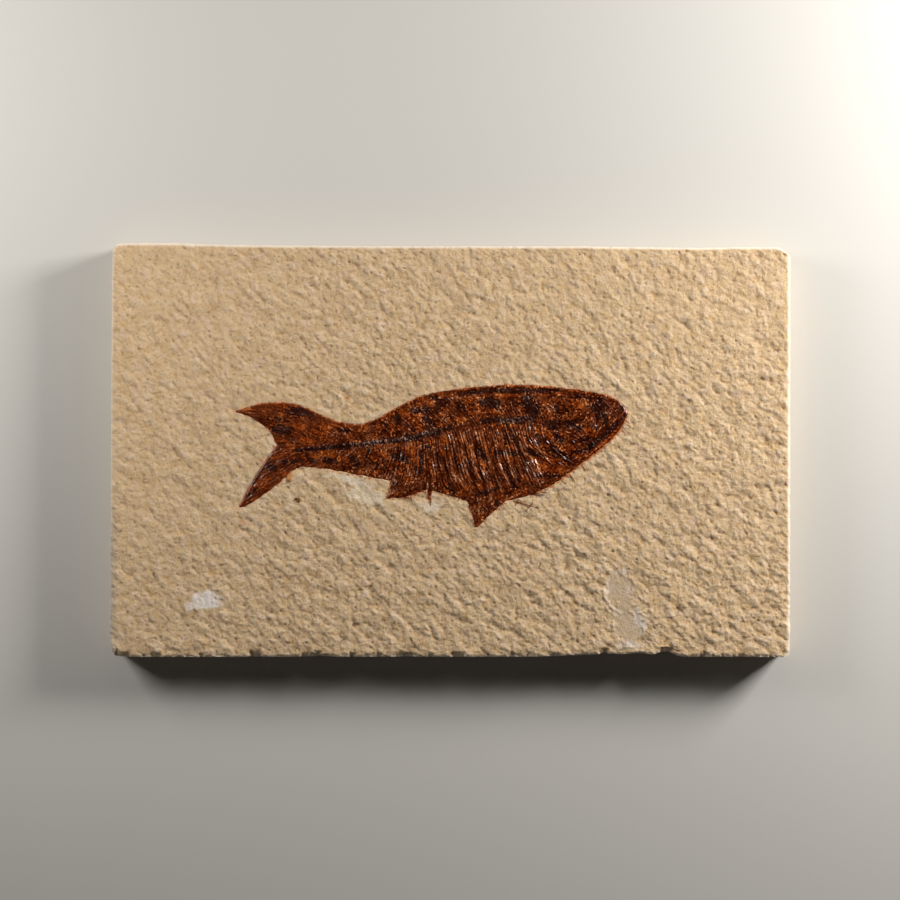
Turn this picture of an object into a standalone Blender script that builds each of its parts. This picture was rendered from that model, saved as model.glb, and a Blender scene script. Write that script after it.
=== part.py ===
"""A small herring-like fossil fish, lying on its side in a sawn slab of laminated limestone.

The slab lies on its flat back with the fossil face up. The fish sits in a shallow bed in that
face and stands a little proud of it, with its backbone, ribs, fin rays and head bones raised.
Lengths are in millimetres here and become metres in one place, where a mesh is made.
X runs along the fish to its snout, Y to its back, and Z out of the fossil face.
The origin is the middle of the slab's underside.
"""

import math
from dataclasses import dataclass

import bmesh
import bpy
import numpy as np
from mathutils import Matrix, Vector
from mathutils.geometry import delaunay_2d_cdt

MM = 0.001

# Slab: its box, the face's net of cells with scattered corners, and its rough edges
SLAB_LENGTH = 165.0
SLAB_WIDTH = 100.4
FACE_Z = 9.6
FACE_CELL = 2.85
SCATTER = 0.27
TOOL_MARK_HEIGHT = 0.42
TOOL_MARKS_START = 0.6
TOOL_MARKS_FULL = 3.6
ARRIS = 0.6
ARRIS_DROP = 0.3
SIDE_ROUGHNESS = 0.35
# Levels of the sides as (share of the face's height, share of the full roughness)
SIDE_LEVELS = [(1 - ARRIS / FACE_Z, 0.0), (0.62, 1.0), (0.3, 1.0), (0.0, 0.4)]
# Worn edges: how far the edge with the fish's back falls short at places along X, the tail's edge
# along Y, and the corners by (row, column) of the face's net
TOP_EDGE_FALL = [(-78, 0.0), (-46, 0.55), (-15, 0.8), (32, 0.85), (60, 1.2), (75, 1.0)]
LEFT_EDGE_BACK = [(-50, 0.6), (-47, 0.2), (-44, 0.0), (-36, 0.1), (0, 0.35), (36, 0.5), (48, 0.65)]
CORNER_CUT = {(-1, 0): 0.35, (-1, -1): 0.7, (0, 0): 0.3, (0, -1): 0.2}

# Fish and its bed
FISH_LENGTH = 95.7
SNOUT = (43.2, 8.8)
BED_DEPTH = 0.7
BED_GAP = 0.3
CUTTER_ABOVE = 3.0
RIM_HEIGHT = 0.2
FLANK_HEIGHT = 0.6
FLANK_REACH = 5.5
BONES_FADE_IN = 0.8
COLUMN_HEIGHT = 0.42
COLUMN_HALF = 1.15
COLUMN_WAIST = 0.45
SOCKET_DEPTH = 0.3
# Spacings of the fish's net: along its outline, along bones, between free points, and the least
OUTLINE_STEP = 1.3
BONE_STEP = 2.0
FREE_STEP = 2.6
FREE_LEAST = 1.1
LEAST_STEP = 0.4
EDGE_MARGIN = 0.45

# Bones, in hundredths of the fish's length
VERTEBRA = 1.55
VERTEBRA_HALF = 0.95
RIB_COUNT = 20
RIBS_FROM, RIBS_TO = 57.0, 27.5
RIBS_UPRIGHT_AT = 55.0
RIB_SLANT = 0.25
RIB_BOW = -0.05
RIB_DROP = 1.5
RIB_REACH = 0.86

# Wear of the edge below the belly: where along X, half the width, and the depth
CHIPS = [(-30.5, 8.0, 0.25), (37.6, 2.4, 0.6), (43.8, 11.0, 0.6), (51.6, 2.6, 0.8)]
# Places where the tool marks are rubbed away: middle and half sizes along X and Y
RUBBED = [((-58.6, -36.2), (5.2, 3.6)), ((41.5, -34.0), (5.0, 5.5)), ((44.5, -43.0), (6.0, 6.5))]

# Outline of the fish from the snout over the back, as runs that meet at corners.
# Each point is (distance behind the snout, height above the snout), in hundredths of the length.
BACK = [
    (0, 0), (1.5, 2.4), (5.7, 4.7), (13.3, 6.1), (25.0, 7.3), (35.1, 7.1), (47.5, 5.7), (53.1, 4.3),
    (59.8, 0.9), (66.5, -2.3), (73.1, -2.1), (79.2, 0.4), (84.5, 2.5), (92.8, 2.6), (100, 0.5),
]
FORK_UPPER = [(100, 0.5), (95.4, -1.1), (91.1, -4.2), (89.1, -7.7)]
FORK_LOWER = [(89.1, -7.7), (91.7, -11.5), (95.4, -17.4), (98.9, -24.0)]
TAIL_UNDERSIDE = [
    (98.9, -24.0), (95.8, -22.9), (89.6, -18.5), (84.6, -14.3), (81.7, -13.5), (74.1, -14.5),
    (67.0, -15.9), (60.3, -17.1),
]
ANAL_FIN_REAR = [(60.3, -17.1), (60.5, -19.4), (61.3, -21.6)]
ANAL_FIN_EDGE = [(61.3, -21.6), (58.4, -21.4), (55.7, -21.0), (51.0, -19.4)]
STRAY_SPINE_REAR = [(51.0, -19.4), (50.4, -23.2)]
STRAY_SPINE_FRONT = [(50.4, -23.2), (49.5, -19.6)]
BELLY = [(49.5, -19.6), (44.3, -21.1), (40.8, -22.2)]
PELVIC_FIN_REAR = [(40.8, -22.2), (40.0, -24.4), (38.8, -28.7)]
PELVIC_FIN_FRONT = [(38.8, -28.7), (37.6, -28.3), (34.1, -24.8), (30.8, -22.2)]
BREAST_AND_JAW = [
    (30.8, -22.2), (24.2, -20.4), (19.1, -18.1), (12.2, -13.0), (4.8, -7.2), (1.7, -3.4), (0, 0),
]
OUTLINE_RUNS = [
    BACK, FORK_UPPER, FORK_LOWER, TAIL_UNDERSIDE, ANAL_FIN_REAR, ANAL_FIN_EDGE, STRAY_SPINE_REAR,
    STRAY_SPINE_FRONT, BELLY, PELVIC_FIN_REAR, PELVIC_FIN_FRONT, BREAST_AND_JAW,
]

# Lines of the skeleton, in the same hundredths
BACKBONE = [
    (85.0, -9.2), (71.8, -7.9), (57.9, -6.5), (50.3, -4.7), (42.7, -2.9), (35.1, -1.8), (25.5, -0.8),
]
KEEL = [
    (60.3, -17.1), (51.0, -18.6), (44.3, -21.1), (37.0, -22.4), (30.8, -22.2), (24.2, -20.4), (19.1, -18.1),
]
DORSAL_RIDGE = [(47.5, 4.4), (37.6, 5.9), (25.0, 6.2), (13.3, 5.0), (7.2, 4.0)]
CLEITHRUM = [(25.7, 2.9), (25.2, -1.6), (24.2, -6.2), (22.2, -9.7), (19.1, -13.3)]
GILL_COVER_REAR = [(20.4, 2.0), (22.0, -2.2), (21.3, -6.2), (18.0, -9.6)]
CHEEK_BAR = [(12.4, 2.2), (14.0, -1.6), (14.6, -5.7), (12.6, -9.0)]
UPPER_JAW = [(1.7, -0.6), (5.7, -3.9), (9.3, -6.9)]
LOWER_JAW = [(1.9, -1.9), (6.2, -6.3), (12.3, -10.7), (17.4, -14.0)]
EYE = (7.5, -0.9)
EYE_RADIUS = 2.6


def on_slab(points):
    """Hundredths of the fish's length behind and above the snout, as millimetres on the slab."""
    scale = FISH_LENGTH / 100
    return np.array([(SNOUT[0] - scale * x, SNOUT[1] + scale * y) for x, y in points])


def smooth_curve(points, step):
    """A smooth curve through the points, in equal steps of about the given length."""
    p = np.array(points, float)
    p = np.vstack([2 * p[0] - p[1], p, 2 * p[-1] - p[-2]])
    dense = []
    for a, b, c, d in zip(p, p[1:], p[2:], p[3:]):
        for t in np.linspace(0, 1, 24, endpoint=False):
            pull = (2 * b, (c - a) * t, (2 * a - 5 * b + 4 * c - d) * t**2, (3 * b - a - 3 * c + d) * t**3)
            dense.append(0.5 * sum(pull))
    dense = np.array(dense + [p[-2]])
    along = np.concatenate([[0], np.cumsum(np.hypot(*np.diff(dense, axis=0).T))])
    wanted = np.linspace(0, along[-1], max(2, round(along[-1] / step) + 1))
    return np.column_stack([np.interp(wanted, along, dense[:, k]) for k in (0, 1)])


def fish_outline():
    """The fish's edge as one closed loop of points, anticlockwise, in millimetres on the slab."""
    runs = [smooth_curve(on_slab(run), OUTLINE_STEP)[:-1] for run in OUTLINE_RUNS]
    return np.vstack(runs)


def distance_to_line(points, line):
    """(distance of each point to the line, how far along the line it is nearest, from 0 to 1)."""
    best = np.full(len(points), 1e9)
    where = np.zeros(len(points))
    for k, (a, b) in enumerate(zip(line, line[1:])):
        along = b - a
        t = np.clip((points - a) @ along / (along @ along), 0, 1)
        away = np.hypot(*(points - a - t[:, None] * along).T)
        nearer = away < best
        best[nearer] = away[nearer]
        where[nearer] = (k + t[nearer]) / (len(line) - 1)
    return best, where


def smooth_step(t):
    t = np.clip(t, 0, 1)
    return t * t * (3 - 2 * t)


@dataclass
class Bone:
    """A raised bone: its line, half its width, and its height at each end."""

    line: np.ndarray
    half_width: float
    start_height: float
    end_height: float
    has_feet: bool = True


def bone(points, half_width, start_height, end_height, has_feet=True):
    line = smooth_curve(on_slab(points), BONE_STEP)
    return Bone(line, half_width, start_height, end_height, has_feet)


def along_line(line, share):
    """The point at a share of the way along a line of points, measured by the points' number."""
    place = share * (len(line) - 1)
    return tuple(np.interp(place, range(len(line)), [p[k] for p in line]) for k in (0, 1))


def height_at(line, x):
    """The height of a line that runs from the tail to the head, at a distance behind the snout."""
    return float(np.interp(-x, [-p[0] for p in line], [p[1] for p in line]))


def rib_line(root_x):
    """A rib from under the backbone down to the keel, slanting more the nearer it is to the head."""
    foot_x = root_x - RIB_SLANT * (RIBS_UPRIGHT_AT - root_x)
    root_y = height_at(BACKBONE, root_x) - RIB_DROP
    foot_y = root_y + RIB_REACH * (height_at(KEEL, foot_x) - root_y)
    middle_x = (root_x + foot_x) / 2 + RIB_BOW * (foot_y - root_y)
    return [(root_x, root_y), (middle_x, (root_y + foot_y) / 2), (foot_x, foot_y)]


def fan(base, edge, reach, shares):
    """Straight lines from places along a fin's base towards places along its edge."""
    lines = []
    for share in shares:
        root = along_line(base, share)
        end = along_line(edge, share)
        lines.append([root, tuple(r + reach * (e - r) for r, e in zip(root, end))])
    return lines


def fin_fans():
    """Each fin as (base, edge, share of the way that its rays reach, number of rays)."""
    return [
        ([(84.6, 1.0), (85.8, -4.0), (87.0, -7.6)], FORK_UPPER, 0.95, 6),
        ([(87.0, -8.4), (85.6, -11.0), (84.6, -13.4)], FORK_LOWER, 0.95, 6),
        ([(40.2, -22.0), (32.6, -22.0)], [(39.4, -27.6), (35.2, -25.0)], 0.9, 4),
        ([(58.8, -16.6), (51.6, -17.8)], [(60.8, -21.0), (53.2, -19.6)], 0.9, 5),
        ([(26.4, -12.8), (23.6, -11.6)], [(23.6, -18.2), (21.4, -16.6)], 1.0, 3),
    ]


def spine_lines():
    """Every second spine above and below the backbone, leaning back to the tail."""
    lines = []
    for x in np.arange(82.0, 29.0, -2 * VERTEBRA):
        y = height_at(BACKBONE, x)
        length = np.interp(x, (29, 45, 62, 82), (5.6, 6.8, 6.1, 5.2))
        lines.append([(x, y + VERTEBRA_HALF), (x + 2.6, y + length)])
    for x in np.arange(81.2, 60.0, -2 * VERTEBRA):
        y = height_at(BACKBONE, x)
        lines.append([(x, y - VERTEBRA_HALF), (x + 2.2, y - 5.0)])
    return lines


def eye_rim():
    turns = np.linspace(0, 2 * math.pi, 13)
    return [(EYE[0] + EYE_RADIUS * math.cos(a), EYE[1] + EYE_RADIUS * math.sin(a)) for a in turns]


def fish_bones():
    rib_places = np.linspace(RIBS_FROM, RIBS_TO, RIB_COUNT)
    bones = [bone(rib_line(x), 0.72, 0.32, 0.2, has_feet=False) for x in rib_places]
    for base, edge, reach, count in fin_fans():
        shares = (np.arange(count) + 0.5) / count
        bones += [bone(ray, 0.6, 0.24, 0.12, has_feet=False) for ray in fan(base, edge, reach, shares)]
    bones += [bone(line, 0.55, 0.26, 0.14) for line in spine_lines()]
    bones += [
        bone(DORSAL_RIDGE, 0.8, 0.2, 0.2), bone(CLEITHRUM, 0.9, 0.34, 0.28),
        bone(GILL_COVER_REAR, 0.9, 0.28, 0.28), bone(CHEEK_BAR, 0.8, 0.28, 0.24),
        bone(UPPER_JAW, 0.8, 0.28, 0.28), bone(LOWER_JAW, 0.9, 0.3, 0.24), bone(eye_rim(), 0.7, 0.28, 0.28),
    ]
    return bones


def creases():
    """The valleys halfway between neighbouring ribs and between neighbouring fin rays."""
    rib_places = np.linspace(RIBS_FROM, RIBS_TO, RIB_COUNT)
    lines = [rib_line(x) for x in (rib_places[1:] + rib_places[:-1]) / 2]
    for base, edge, reach, count in fin_fans():
        lines += fan(base, edge, reach, np.arange(1, count) / count)
    return [smooth_curve(on_slab(line), BONE_STEP) for line in lines]


def vertebral_column():
    """(the column's line, how many vertebrae it has)."""
    column = smooth_curve(on_slab(BACKBONE), BONE_STEP / 2)
    length = np.hypot(*np.diff(column, axis=0).T).sum()
    return column, round(length / (VERTEBRA * FISH_LENGTH / 100))


def fish_relief(points, outline, bones):
    """Height of the fish's skin above the slab's face at each point."""
    inset, _ = distance_to_line(points, np.vstack([outline, outline[:1]]))
    flank = RIM_HEIGHT + (FLANK_HEIGHT - RIM_HEIGHT) * smooth_step(inset / FLANK_REACH)
    raised = np.zeros(len(points))
    for b in bones:
        away, where = distance_to_line(points, b.line)
        ridge = 1 - smooth_step(away / b.half_width)
        raised = np.maximum(raised, ridge * (b.start_height + (b.end_height - b.start_height) * where))
    column, count = vertebral_column()
    away, where = distance_to_line(points, column)
    drum = COLUMN_WAIST + (1 - COLUMN_WAIST) * (1 - np.abs(np.cos(math.pi * where * count)))
    raised = np.maximum(raised, COLUMN_HEIGHT * drum * (1 - smooth_step(away / COLUMN_HALF)))
    from_eye = np.hypot(*(points - on_slab([EYE])).T)
    hollow = SOCKET_DEPTH * (1 - smooth_step(from_eye / (0.8 * EYE_RADIUS)))
    return flank + smooth_step(inset / BONES_FADE_IN) * (raised - hollow)


class Net:
    """Points and edges for a triangle net, where a point too near an earlier one is not added."""

    def __init__(self):
        self.points = []
        self.edges = []
        self.cells = {}

    def add(self, x, y):
        home = (math.floor(x / LEAST_STEP), math.floor(y / LEAST_STEP))
        for i in (-1, 0, 1):
            for j in (-1, 0, 1):
                for k in self.cells.get((home[0] + i, home[1] + j), ()):
                    if math.dist(self.points[k], (x, y)) < LEAST_STEP:
                        return k
        self.points.append((x, y))
        self.cells.setdefault(home, []).append(len(self.points) - 1)
        return len(self.points) - 1

    def add_line(self, line):
        found = [self.add(*p) for p in line]
        self.edges += [(a, b) for a, b in zip(found, found[1:]) if a != b]


def side_lines(line, offset):
    """The two lines beside a line, at the given distance."""
    forward = np.gradient(line, axis=0)
    forward /= np.hypot(*forward.T)[:, None]
    across = np.column_stack([-forward[:, 1], forward[:, 0]])
    return line + offset * across, line - offset * across


def well_inside(points, outline, margin):
    """Which points lie inside the outline and at least a margin from it."""
    inside = np.zeros(len(points), bool)
    for (x0, y0), (x1, y1) in zip(outline, np.roll(outline, -1, axis=0)):
        if y0 == y1:
            continue
        crossing = (points[:, 1] < y0) != (points[:, 1] < y1)
        inside ^= crossing & (points[:, 0] < x0 + (points[:, 1] - y0) * (x1 - x0) / (y1 - y0))
    away, _ = distance_to_line(points, np.vstack([outline, outline[:1]]))
    return inside & (away > margin)


def fish_net(outline, bones):
    """Triangles that fill the outline and follow every raised bone's crest and its feet."""
    net = Net()
    net.points = [tuple(p) for p in outline]
    column, count = vertebral_column()
    shares = np.linspace(0, 1, len(column))
    for share in np.linspace(0, 1, 2 * count + 1):
        x, y = (np.interp(share, shares, column[:, k]) for k in (0, 1))
        for aside in (0, 0.55 * COLUMN_HALF, COLUMN_HALF):
            net.add(x, y + aside)
            net.add(x, y - aside)
    for line in [b.line for b in bones] + creases():
        kept = line[well_inside(line, outline, EDGE_MARGIN)]
        if len(kept) > 1:
            net.add_line(kept)
    for b in bones:
        if b.has_feet:
            for side in side_lines(b.line, b.half_width):
                for x, y in side[well_inside(side, outline, EDGE_MARGIN)]:
                    net.add(x, y)
    low, high = outline.min(0), outline.max(0)
    across, up = np.meshgrid(np.arange(low[0], high[0], FREE_STEP), np.arange(low[1], high[1], FREE_STEP))
    free = np.column_stack([across.ravel(), up.ravel()])
    for x, y in free[well_inside(free, outline, 2 * EDGE_MARGIN)]:
        if min(math.dist((x, y), p) for p in net.points) > FREE_LEAST:
            net.points.append((x, y))
    flat = [Vector((float(x), float(y))) for x, y in net.points]
    loop = list(range(len(outline)))
    vertices, _, faces, *_ = delaunay_2d_cdt(flat, net.edges, [loop], 1, 1e-5)
    return np.array([tuple(v) for v in vertices]), faces


def limestone():
    return finish("limestone", (0.57, 0.40, 0.23), 0.92)


def fossil_bone():
    return finish("fossil_bone", (0.105, 0.026, 0.008), 0.38)


def finish(name, colour, roughness):
    material = bpy.data.materials.new(name)
    material.use_nodes = True
    shader = material.node_tree.nodes["Principled BSDF"]
    shader.inputs["Base Color"].default_value = (*colour, 1)
    shader.inputs["Roughness"].default_value = roughness
    shader.inputs["Metallic"].default_value = 0.0
    return material


def new_object(name, bm, material=None):
    """A scene object from a mesh in millimetres."""
    bmesh.ops.recalc_face_normals(bm, faces=bm.faces)
    bm.transform(Matrix.Scale(MM, 4))
    mesh = bpy.data.meshes.new(name)
    bm.to_mesh(mesh)
    bm.free()
    mesh.shade_smooth()
    mesh.set_sharp_from_angle(angle=math.radians(38))
    thing = bpy.data.objects.new(name, mesh)
    bpy.context.scene.collection.objects.link(thing)
    if material:
        mesh.materials.append(material)
    return thing


def close_below(bm, z):
    """Walls from the open edge of a surface straight down to a level, and a flat floor there."""
    rim = [e for e in bm.edges if e.is_boundary]
    made = bmesh.ops.extrude_edge_only(bm, edges=rim)["geom"]
    for v in made:
        if isinstance(v, bmesh.types.BMVert):
            v.co.z = z
    floor = [e for e in made if isinstance(e, bmesh.types.BMEdge) and e.is_boundary]
    bmesh.ops.contextual_create(bm, geom=floor)


def make_fish(outline):
    bones = fish_bones()
    flat, triangles = fish_net(outline, bones)
    heights = FACE_Z + fish_relief(flat, outline, bones)
    bm = bmesh.new()
    vertices = [bm.verts.new((x, y, z)) for (x, y), z in zip(flat, heights)]
    for corners in triangles:
        bm.faces.new([vertices[k] for k in corners])
    close_below(bm, FACE_Z - BED_DEPTH + BED_GAP)
    return new_object("fossil_fish", bm, fossil_bone())


def rubbed(x, y):
    """1 where the tool marks are whole, down to 0 in the middle of a rubbed patch."""
    whole = np.ones(x.shape)
    for (cx, cy), (rx, ry) in RUBBED:
        whole *= smooth_step(np.hypot((x - cx) / rx, (y - cy) / ry) - 0.3)
    return whole


def chip_depth(x):
    return sum(depth * np.exp(-(((x - at) / half) ** 4)) for at, half, depth in CHIPS)


def slab_plan(rng):
    """Places of the face's net: [row, column] arrays of x and y, drawn in to the slab's worn edges."""
    columns = round(SLAB_LENGTH / FACE_CELL)
    rows = round(SLAB_WIDTH / FACE_CELL)
    u, w = np.meshgrid(np.linspace(0, 1, columns + 1), np.linspace(0, 1, rows + 1))
    x = (u - 0.5) * SLAB_LENGTH
    y = (w - 0.5) * SLAB_WIDTH
    y = y - w * np.interp(x, *zip(*TOP_EDGE_FALL))
    x = x + (1 - u) * np.interp(y, *zip(*LEFT_EDGE_BACK))
    y[0] += chip_depth(x[0])
    for (row, column), cut in CORNER_CUT.items():
        x[row, column] += cut if column == 0 else -cut
        y[row, column] += cut if row == 0 else -cut
    inner = (slice(1, -1), slice(1, -1))
    for place in (x, y):
        place[inner] += SCATTER * FACE_CELL * (2 * rng.random(place[inner].shape) - 1)
    return x, y


def slab_face_height(x, y, outline, rng):
    """Tool marks lift and sink the face, except beside the fish and where it is rubbed."""
    closed = np.vstack([outline, outline[:1]])
    away, _ = distance_to_line(np.column_stack([x.ravel(), y.ravel()]), closed)
    marks = 2 * rng.random(x.shape) - 1
    clear = (away.reshape(x.shape) - TOOL_MARKS_START) / (TOOL_MARKS_FULL - TOOL_MARKS_START)
    marks *= smooth_step(clear) * rubbed(x, y)
    return FACE_Z + TOOL_MARK_HEIGHT * marks


def slab_mesh(outline):
    """The pecked face, its worn arris, the rough sides in steps and the flat underside."""
    rng = np.random.default_rng(11)
    x, y = slab_plan(rng)
    z = slab_face_height(x, y, outline, rng)
    rows, columns = (n - 1 for n in x.shape)
    around = [(0, i) for i in range(columns)] + [(j, columns) for j in range(rows)]
    around += [(rows, i) for i in range(columns, 0, -1)] + [(j, 0) for j in range(rows, 0, -1)]
    outer = np.array([(x[at], y[at]) for at in around])
    inward = np.array([((i == 0) - (i == columns), (j == 0) - (j == rows)) for j, i in around], float)
    for at, place in zip(around, outer + ARRIS * inward):
        x[at], y[at] = place
        z[at] = FACE_Z - ARRIS_DROP * rng.random()

    bm = bmesh.new()
    face = [[bm.verts.new(place) for place in zip(*line)] for line in zip(x, y, z)]
    for low, high in zip(face, face[1:]):
        for k in range(columns):
            bm.faces.new([low[k], low[k + 1], high[k + 1], high[k]])
    ring = [face[j][i] for j, i in around]
    for level, rough in SIDE_LEVELS:
        places = outer + SIDE_ROUGHNESS * rough * rng.random((len(outer), 1)) * inward
        below = [bm.verts.new((*place, level * FACE_Z)) for place in places]
        for k in range(len(ring)):
            bm.faces.new([ring[k - 1], below[k - 1], below[k], ring[k]])
        ring = below
    bm.faces.new(ring)
    return bm


def grown_outline(outline, offset):
    """The outline moved outwards, with its sharp corners kept within twice the offset."""
    before = outline - np.roll(outline, 1, axis=0)
    after = np.roll(outline, -1, axis=0) - outline
    normals = []
    for edge in (before, after):
        edge = edge / np.hypot(*edge.T)[:, None]
        normals.append(np.column_stack([edge[:, 1], -edge[:, 0]]))
    middle = normals[0] + normals[1]
    middle /= np.hypot(*middle.T)[:, None]
    miter = 1 / np.maximum(0.5, (middle * normals[0]).sum(1))
    return outline + offset * miter[:, None] * middle


def bed_cutter(outline):
    """The space that the fish and its gap take out of the slab's face."""
    bm = bmesh.new()
    loop = [bm.verts.new((x, y, FACE_Z + CUTTER_ABOVE)) for x, y in grown_outline(outline, BED_GAP)]
    bm.faces.new(loop)
    close_below(bm, FACE_Z - BED_DEPTH)
    cutter = new_object("bed_cutter", bm)
    cutter.hide_render = True
    cutter.display_type = "WIRE"
    return cutter


def make_slab(outline):
    slab = new_object("limestone_slab", slab_mesh(outline), limestone())
    bed = slab.modifiers.new("fish_bed", "BOOLEAN")
    bed.operation = "DIFFERENCE"
    bed.object = bed_cutter(outline)
    return slab


def main():
    for thing in list(bpy.data.objects):
        bpy.data.objects.remove(thing)
    outline = fish_outline()
    make_slab(outline)
    make_fish(outline)


main()
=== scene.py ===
# %% [markdown]
# # A small fossil fish in its slab of limestone
#
# The real thing is a thin slab of fine-grained lake limestone with a herring-like fish on its face.
# The preparer has cut the rock away around the fish with a small pointed tool, which leaves the
# stone pecked all over, and has varnished the bone, which makes it dark and glossy.
#
# The lesson goes from the stage to the shapes and ends with the finishes. Almost every shape here
# is a *relief*: a surface that never folds over itself. So each one can be worked out as a height
# map, an array of heights over a flat plan, and turned into a mesh at the very end. That is easier
# to control than sculpting, and it gives the same stone and the same fish on every run.

# %% Load the solid model as a fixed frame
import math

import bpy
import numpy as np
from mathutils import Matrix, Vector
from mathutils.geometry import delaunay_2d_cdt


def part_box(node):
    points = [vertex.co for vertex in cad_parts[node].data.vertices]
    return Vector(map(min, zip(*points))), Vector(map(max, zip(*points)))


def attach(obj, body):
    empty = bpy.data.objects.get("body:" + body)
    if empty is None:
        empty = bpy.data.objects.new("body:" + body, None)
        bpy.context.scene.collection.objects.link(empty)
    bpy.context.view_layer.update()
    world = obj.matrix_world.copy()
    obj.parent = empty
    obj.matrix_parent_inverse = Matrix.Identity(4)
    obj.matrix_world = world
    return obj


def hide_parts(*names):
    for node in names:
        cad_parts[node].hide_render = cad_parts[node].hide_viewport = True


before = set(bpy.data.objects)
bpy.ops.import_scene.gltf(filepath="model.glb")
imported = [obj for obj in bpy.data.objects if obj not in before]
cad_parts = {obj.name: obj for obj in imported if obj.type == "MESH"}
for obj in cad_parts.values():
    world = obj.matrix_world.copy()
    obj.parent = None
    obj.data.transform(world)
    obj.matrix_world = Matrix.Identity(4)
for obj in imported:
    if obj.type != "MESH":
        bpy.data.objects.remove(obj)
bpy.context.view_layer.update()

# %% [markdown]
# ## Sizes
#
# All shapes are worked out in millimetres on the slab. X runs along the fish to its snout, Y to its
# back and Z out of the stone. A mesh is scaled to metres once, where it is made.
# The sizes are those of the solid model, which was measured from a photograph taken straight down,
# in which one pixel is 0.24233 mm. A mark that was read off that photograph is written in its pixels
# and turned to millimetres by one function.

# %% Sizes of the slab and the fish
MM = 0.001
SLAB_LENGTH, SLAB_WIDTH, FACE_Z = 165.0, 100.4, 9.6
FISH_LENGTH, SNOUT = 95.7, (43.2, 8.8)
PIXEL = 0.24233
SLAB_CENTRE_PIXEL = (450.15, 449.85)


def on_slab(points):
    """Hundredths of the fish's length, behind and above the snout, as millimetres on the slab."""
    scale = FISH_LENGTH / 100
    return np.array([(SNOUT[0] - scale * x, SNOUT[1] + scale * y) for x, y in points])


def at_pixel(px, py):
    """A pixel of the photograph as millimetres on the slab."""
    return PIXEL * (px - SLAB_CENTRE_PIXEL[0]), PIXEL * (SLAB_CENTRE_PIXEL[1] - py)


low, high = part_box("limestone_slab")
print("slab box in mm:", [round(1000 * v, 2) for v in (*low, *high)])

# %% [markdown]
# ## Camera, floor and light
#
# The photograph looks straight down on the slab, from far enough away that the sides don't show.
# A long lens does the same. The height of the camera follows from how wide a strip of the face has
# to fill the picture.
#
# The way the light falls is what makes stone look like stone. In the photograph the little hollows
# are dark on their lower left, most strongly at the right-hand end, and the shading turns more
# upright towards the left. That is what two soft lamps give that stand low on both sides of a copy
# stand, a strong one to the upper right and a weak one to the upper left. A raking light like this
# shows every grain. A pale band of sky along the horizon fills in the slab's sides.

# %% Camera straight above the face
PICTURE_PIXELS = 900
VIEW_WIDTH = PICTURE_PIXELS * PIXEL * MM
LENS_MM, SENSOR_MM = 100.0, 36.0

camera_data = bpy.data.cameras.new("copy_camera")
camera_data.lens = LENS_MM
camera_data.sensor_width = SENSOR_MM
camera = bpy.data.objects.new("copy_camera", camera_data)
camera.location = (0.0, 0.0, FACE_Z * MM + VIEW_WIDTH * LENS_MM / SENSOR_MM)
bpy.context.scene.collection.objects.link(camera)
bpy.context.scene.camera = camera
bpy.context.scene.view_settings.view_transform = "Standard"
print("camera height in mm:", round(camera.location.z / MM, 1))


# %% Colours and nodes
def linear(code):
    """An sRGB hex colour such as "#d8b98c" as linear RGBA."""
    channels = [int(code[k:k + 2], 16) / 255 for k in (1, 3, 5)]
    return (*[c / 12.92 if c <= 0.04045 else ((c + 0.055) / 1.055) ** 2.4 for c in channels], 1.0)


def add(tree, kind, inputs=None, **settings):
    """Adds a node. Settings are its properties. Inputs are values, or the sockets to link from."""
    node = tree.nodes.new(kind)
    for name, value in settings.items():
        setattr(node, name, value)
    for name, value in (inputs or {}).items():
        if isinstance(value, bpy.types.NodeSocket):
            tree.links.new(value, node.inputs[name])
        else:
            node.inputs[name].default_value = value
    return node


# %% Two low lamps
LAMP_SIZE = 0.11
LAMP_COLOUR = (1.0, 0.985, 0.96)
LAMPS = [
    # (name, place in metres, watts)
    ("right_lamp", (0.290, 0.150, 0.140), 1.95),
    ("left_lamp", (-0.225, 0.108, 0.140), 0.48),
]
for name, place, watts in LAMPS:
    lamp_data = bpy.data.lights.new(name, "AREA")
    lamp_data.energy = watts
    lamp_data.size = LAMP_SIZE
    lamp_data.color = LAMP_COLOUR
    lamp = bpy.data.objects.new(name, lamp_data)
    lamp.location = place
    lamp.rotation_euler = (Vector((0, 0, FACE_Z * MM)) - lamp.location).to_track_quat("-Z", "Y").to_euler()
    bpy.context.scene.collection.objects.link(lamp)

print("lamps:", [name for name, _, _ in LAMPS])

# %% A pale horizon
world = bpy.data.worlds.new("studio")
world.use_nodes = True
sky = world.node_tree
sky.nodes.clear()
direction = add(sky, "ShaderNodeTexCoord")
height = add(sky, "ShaderNodeSeparateXYZ", {0: direction.outputs["Generated"]})
horizon = add(sky, "ShaderNodeValToRGB", {"Fac": height.outputs["Z"]})
for stop, (level, grey) in zip(horizon.color_ramp.elements, ((0.12, 0.30), (0.42, 0.01))):
    stop.position = level
    stop.color = (grey, grey, grey, 1)
backdrop = add(sky, "ShaderNodeBackground", {"Color": horizon.outputs["Color"]})
add(sky, "ShaderNodeOutputWorld", {"Surface": backdrop.outputs["Background"]})
bpy.context.scene.world = world

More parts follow.
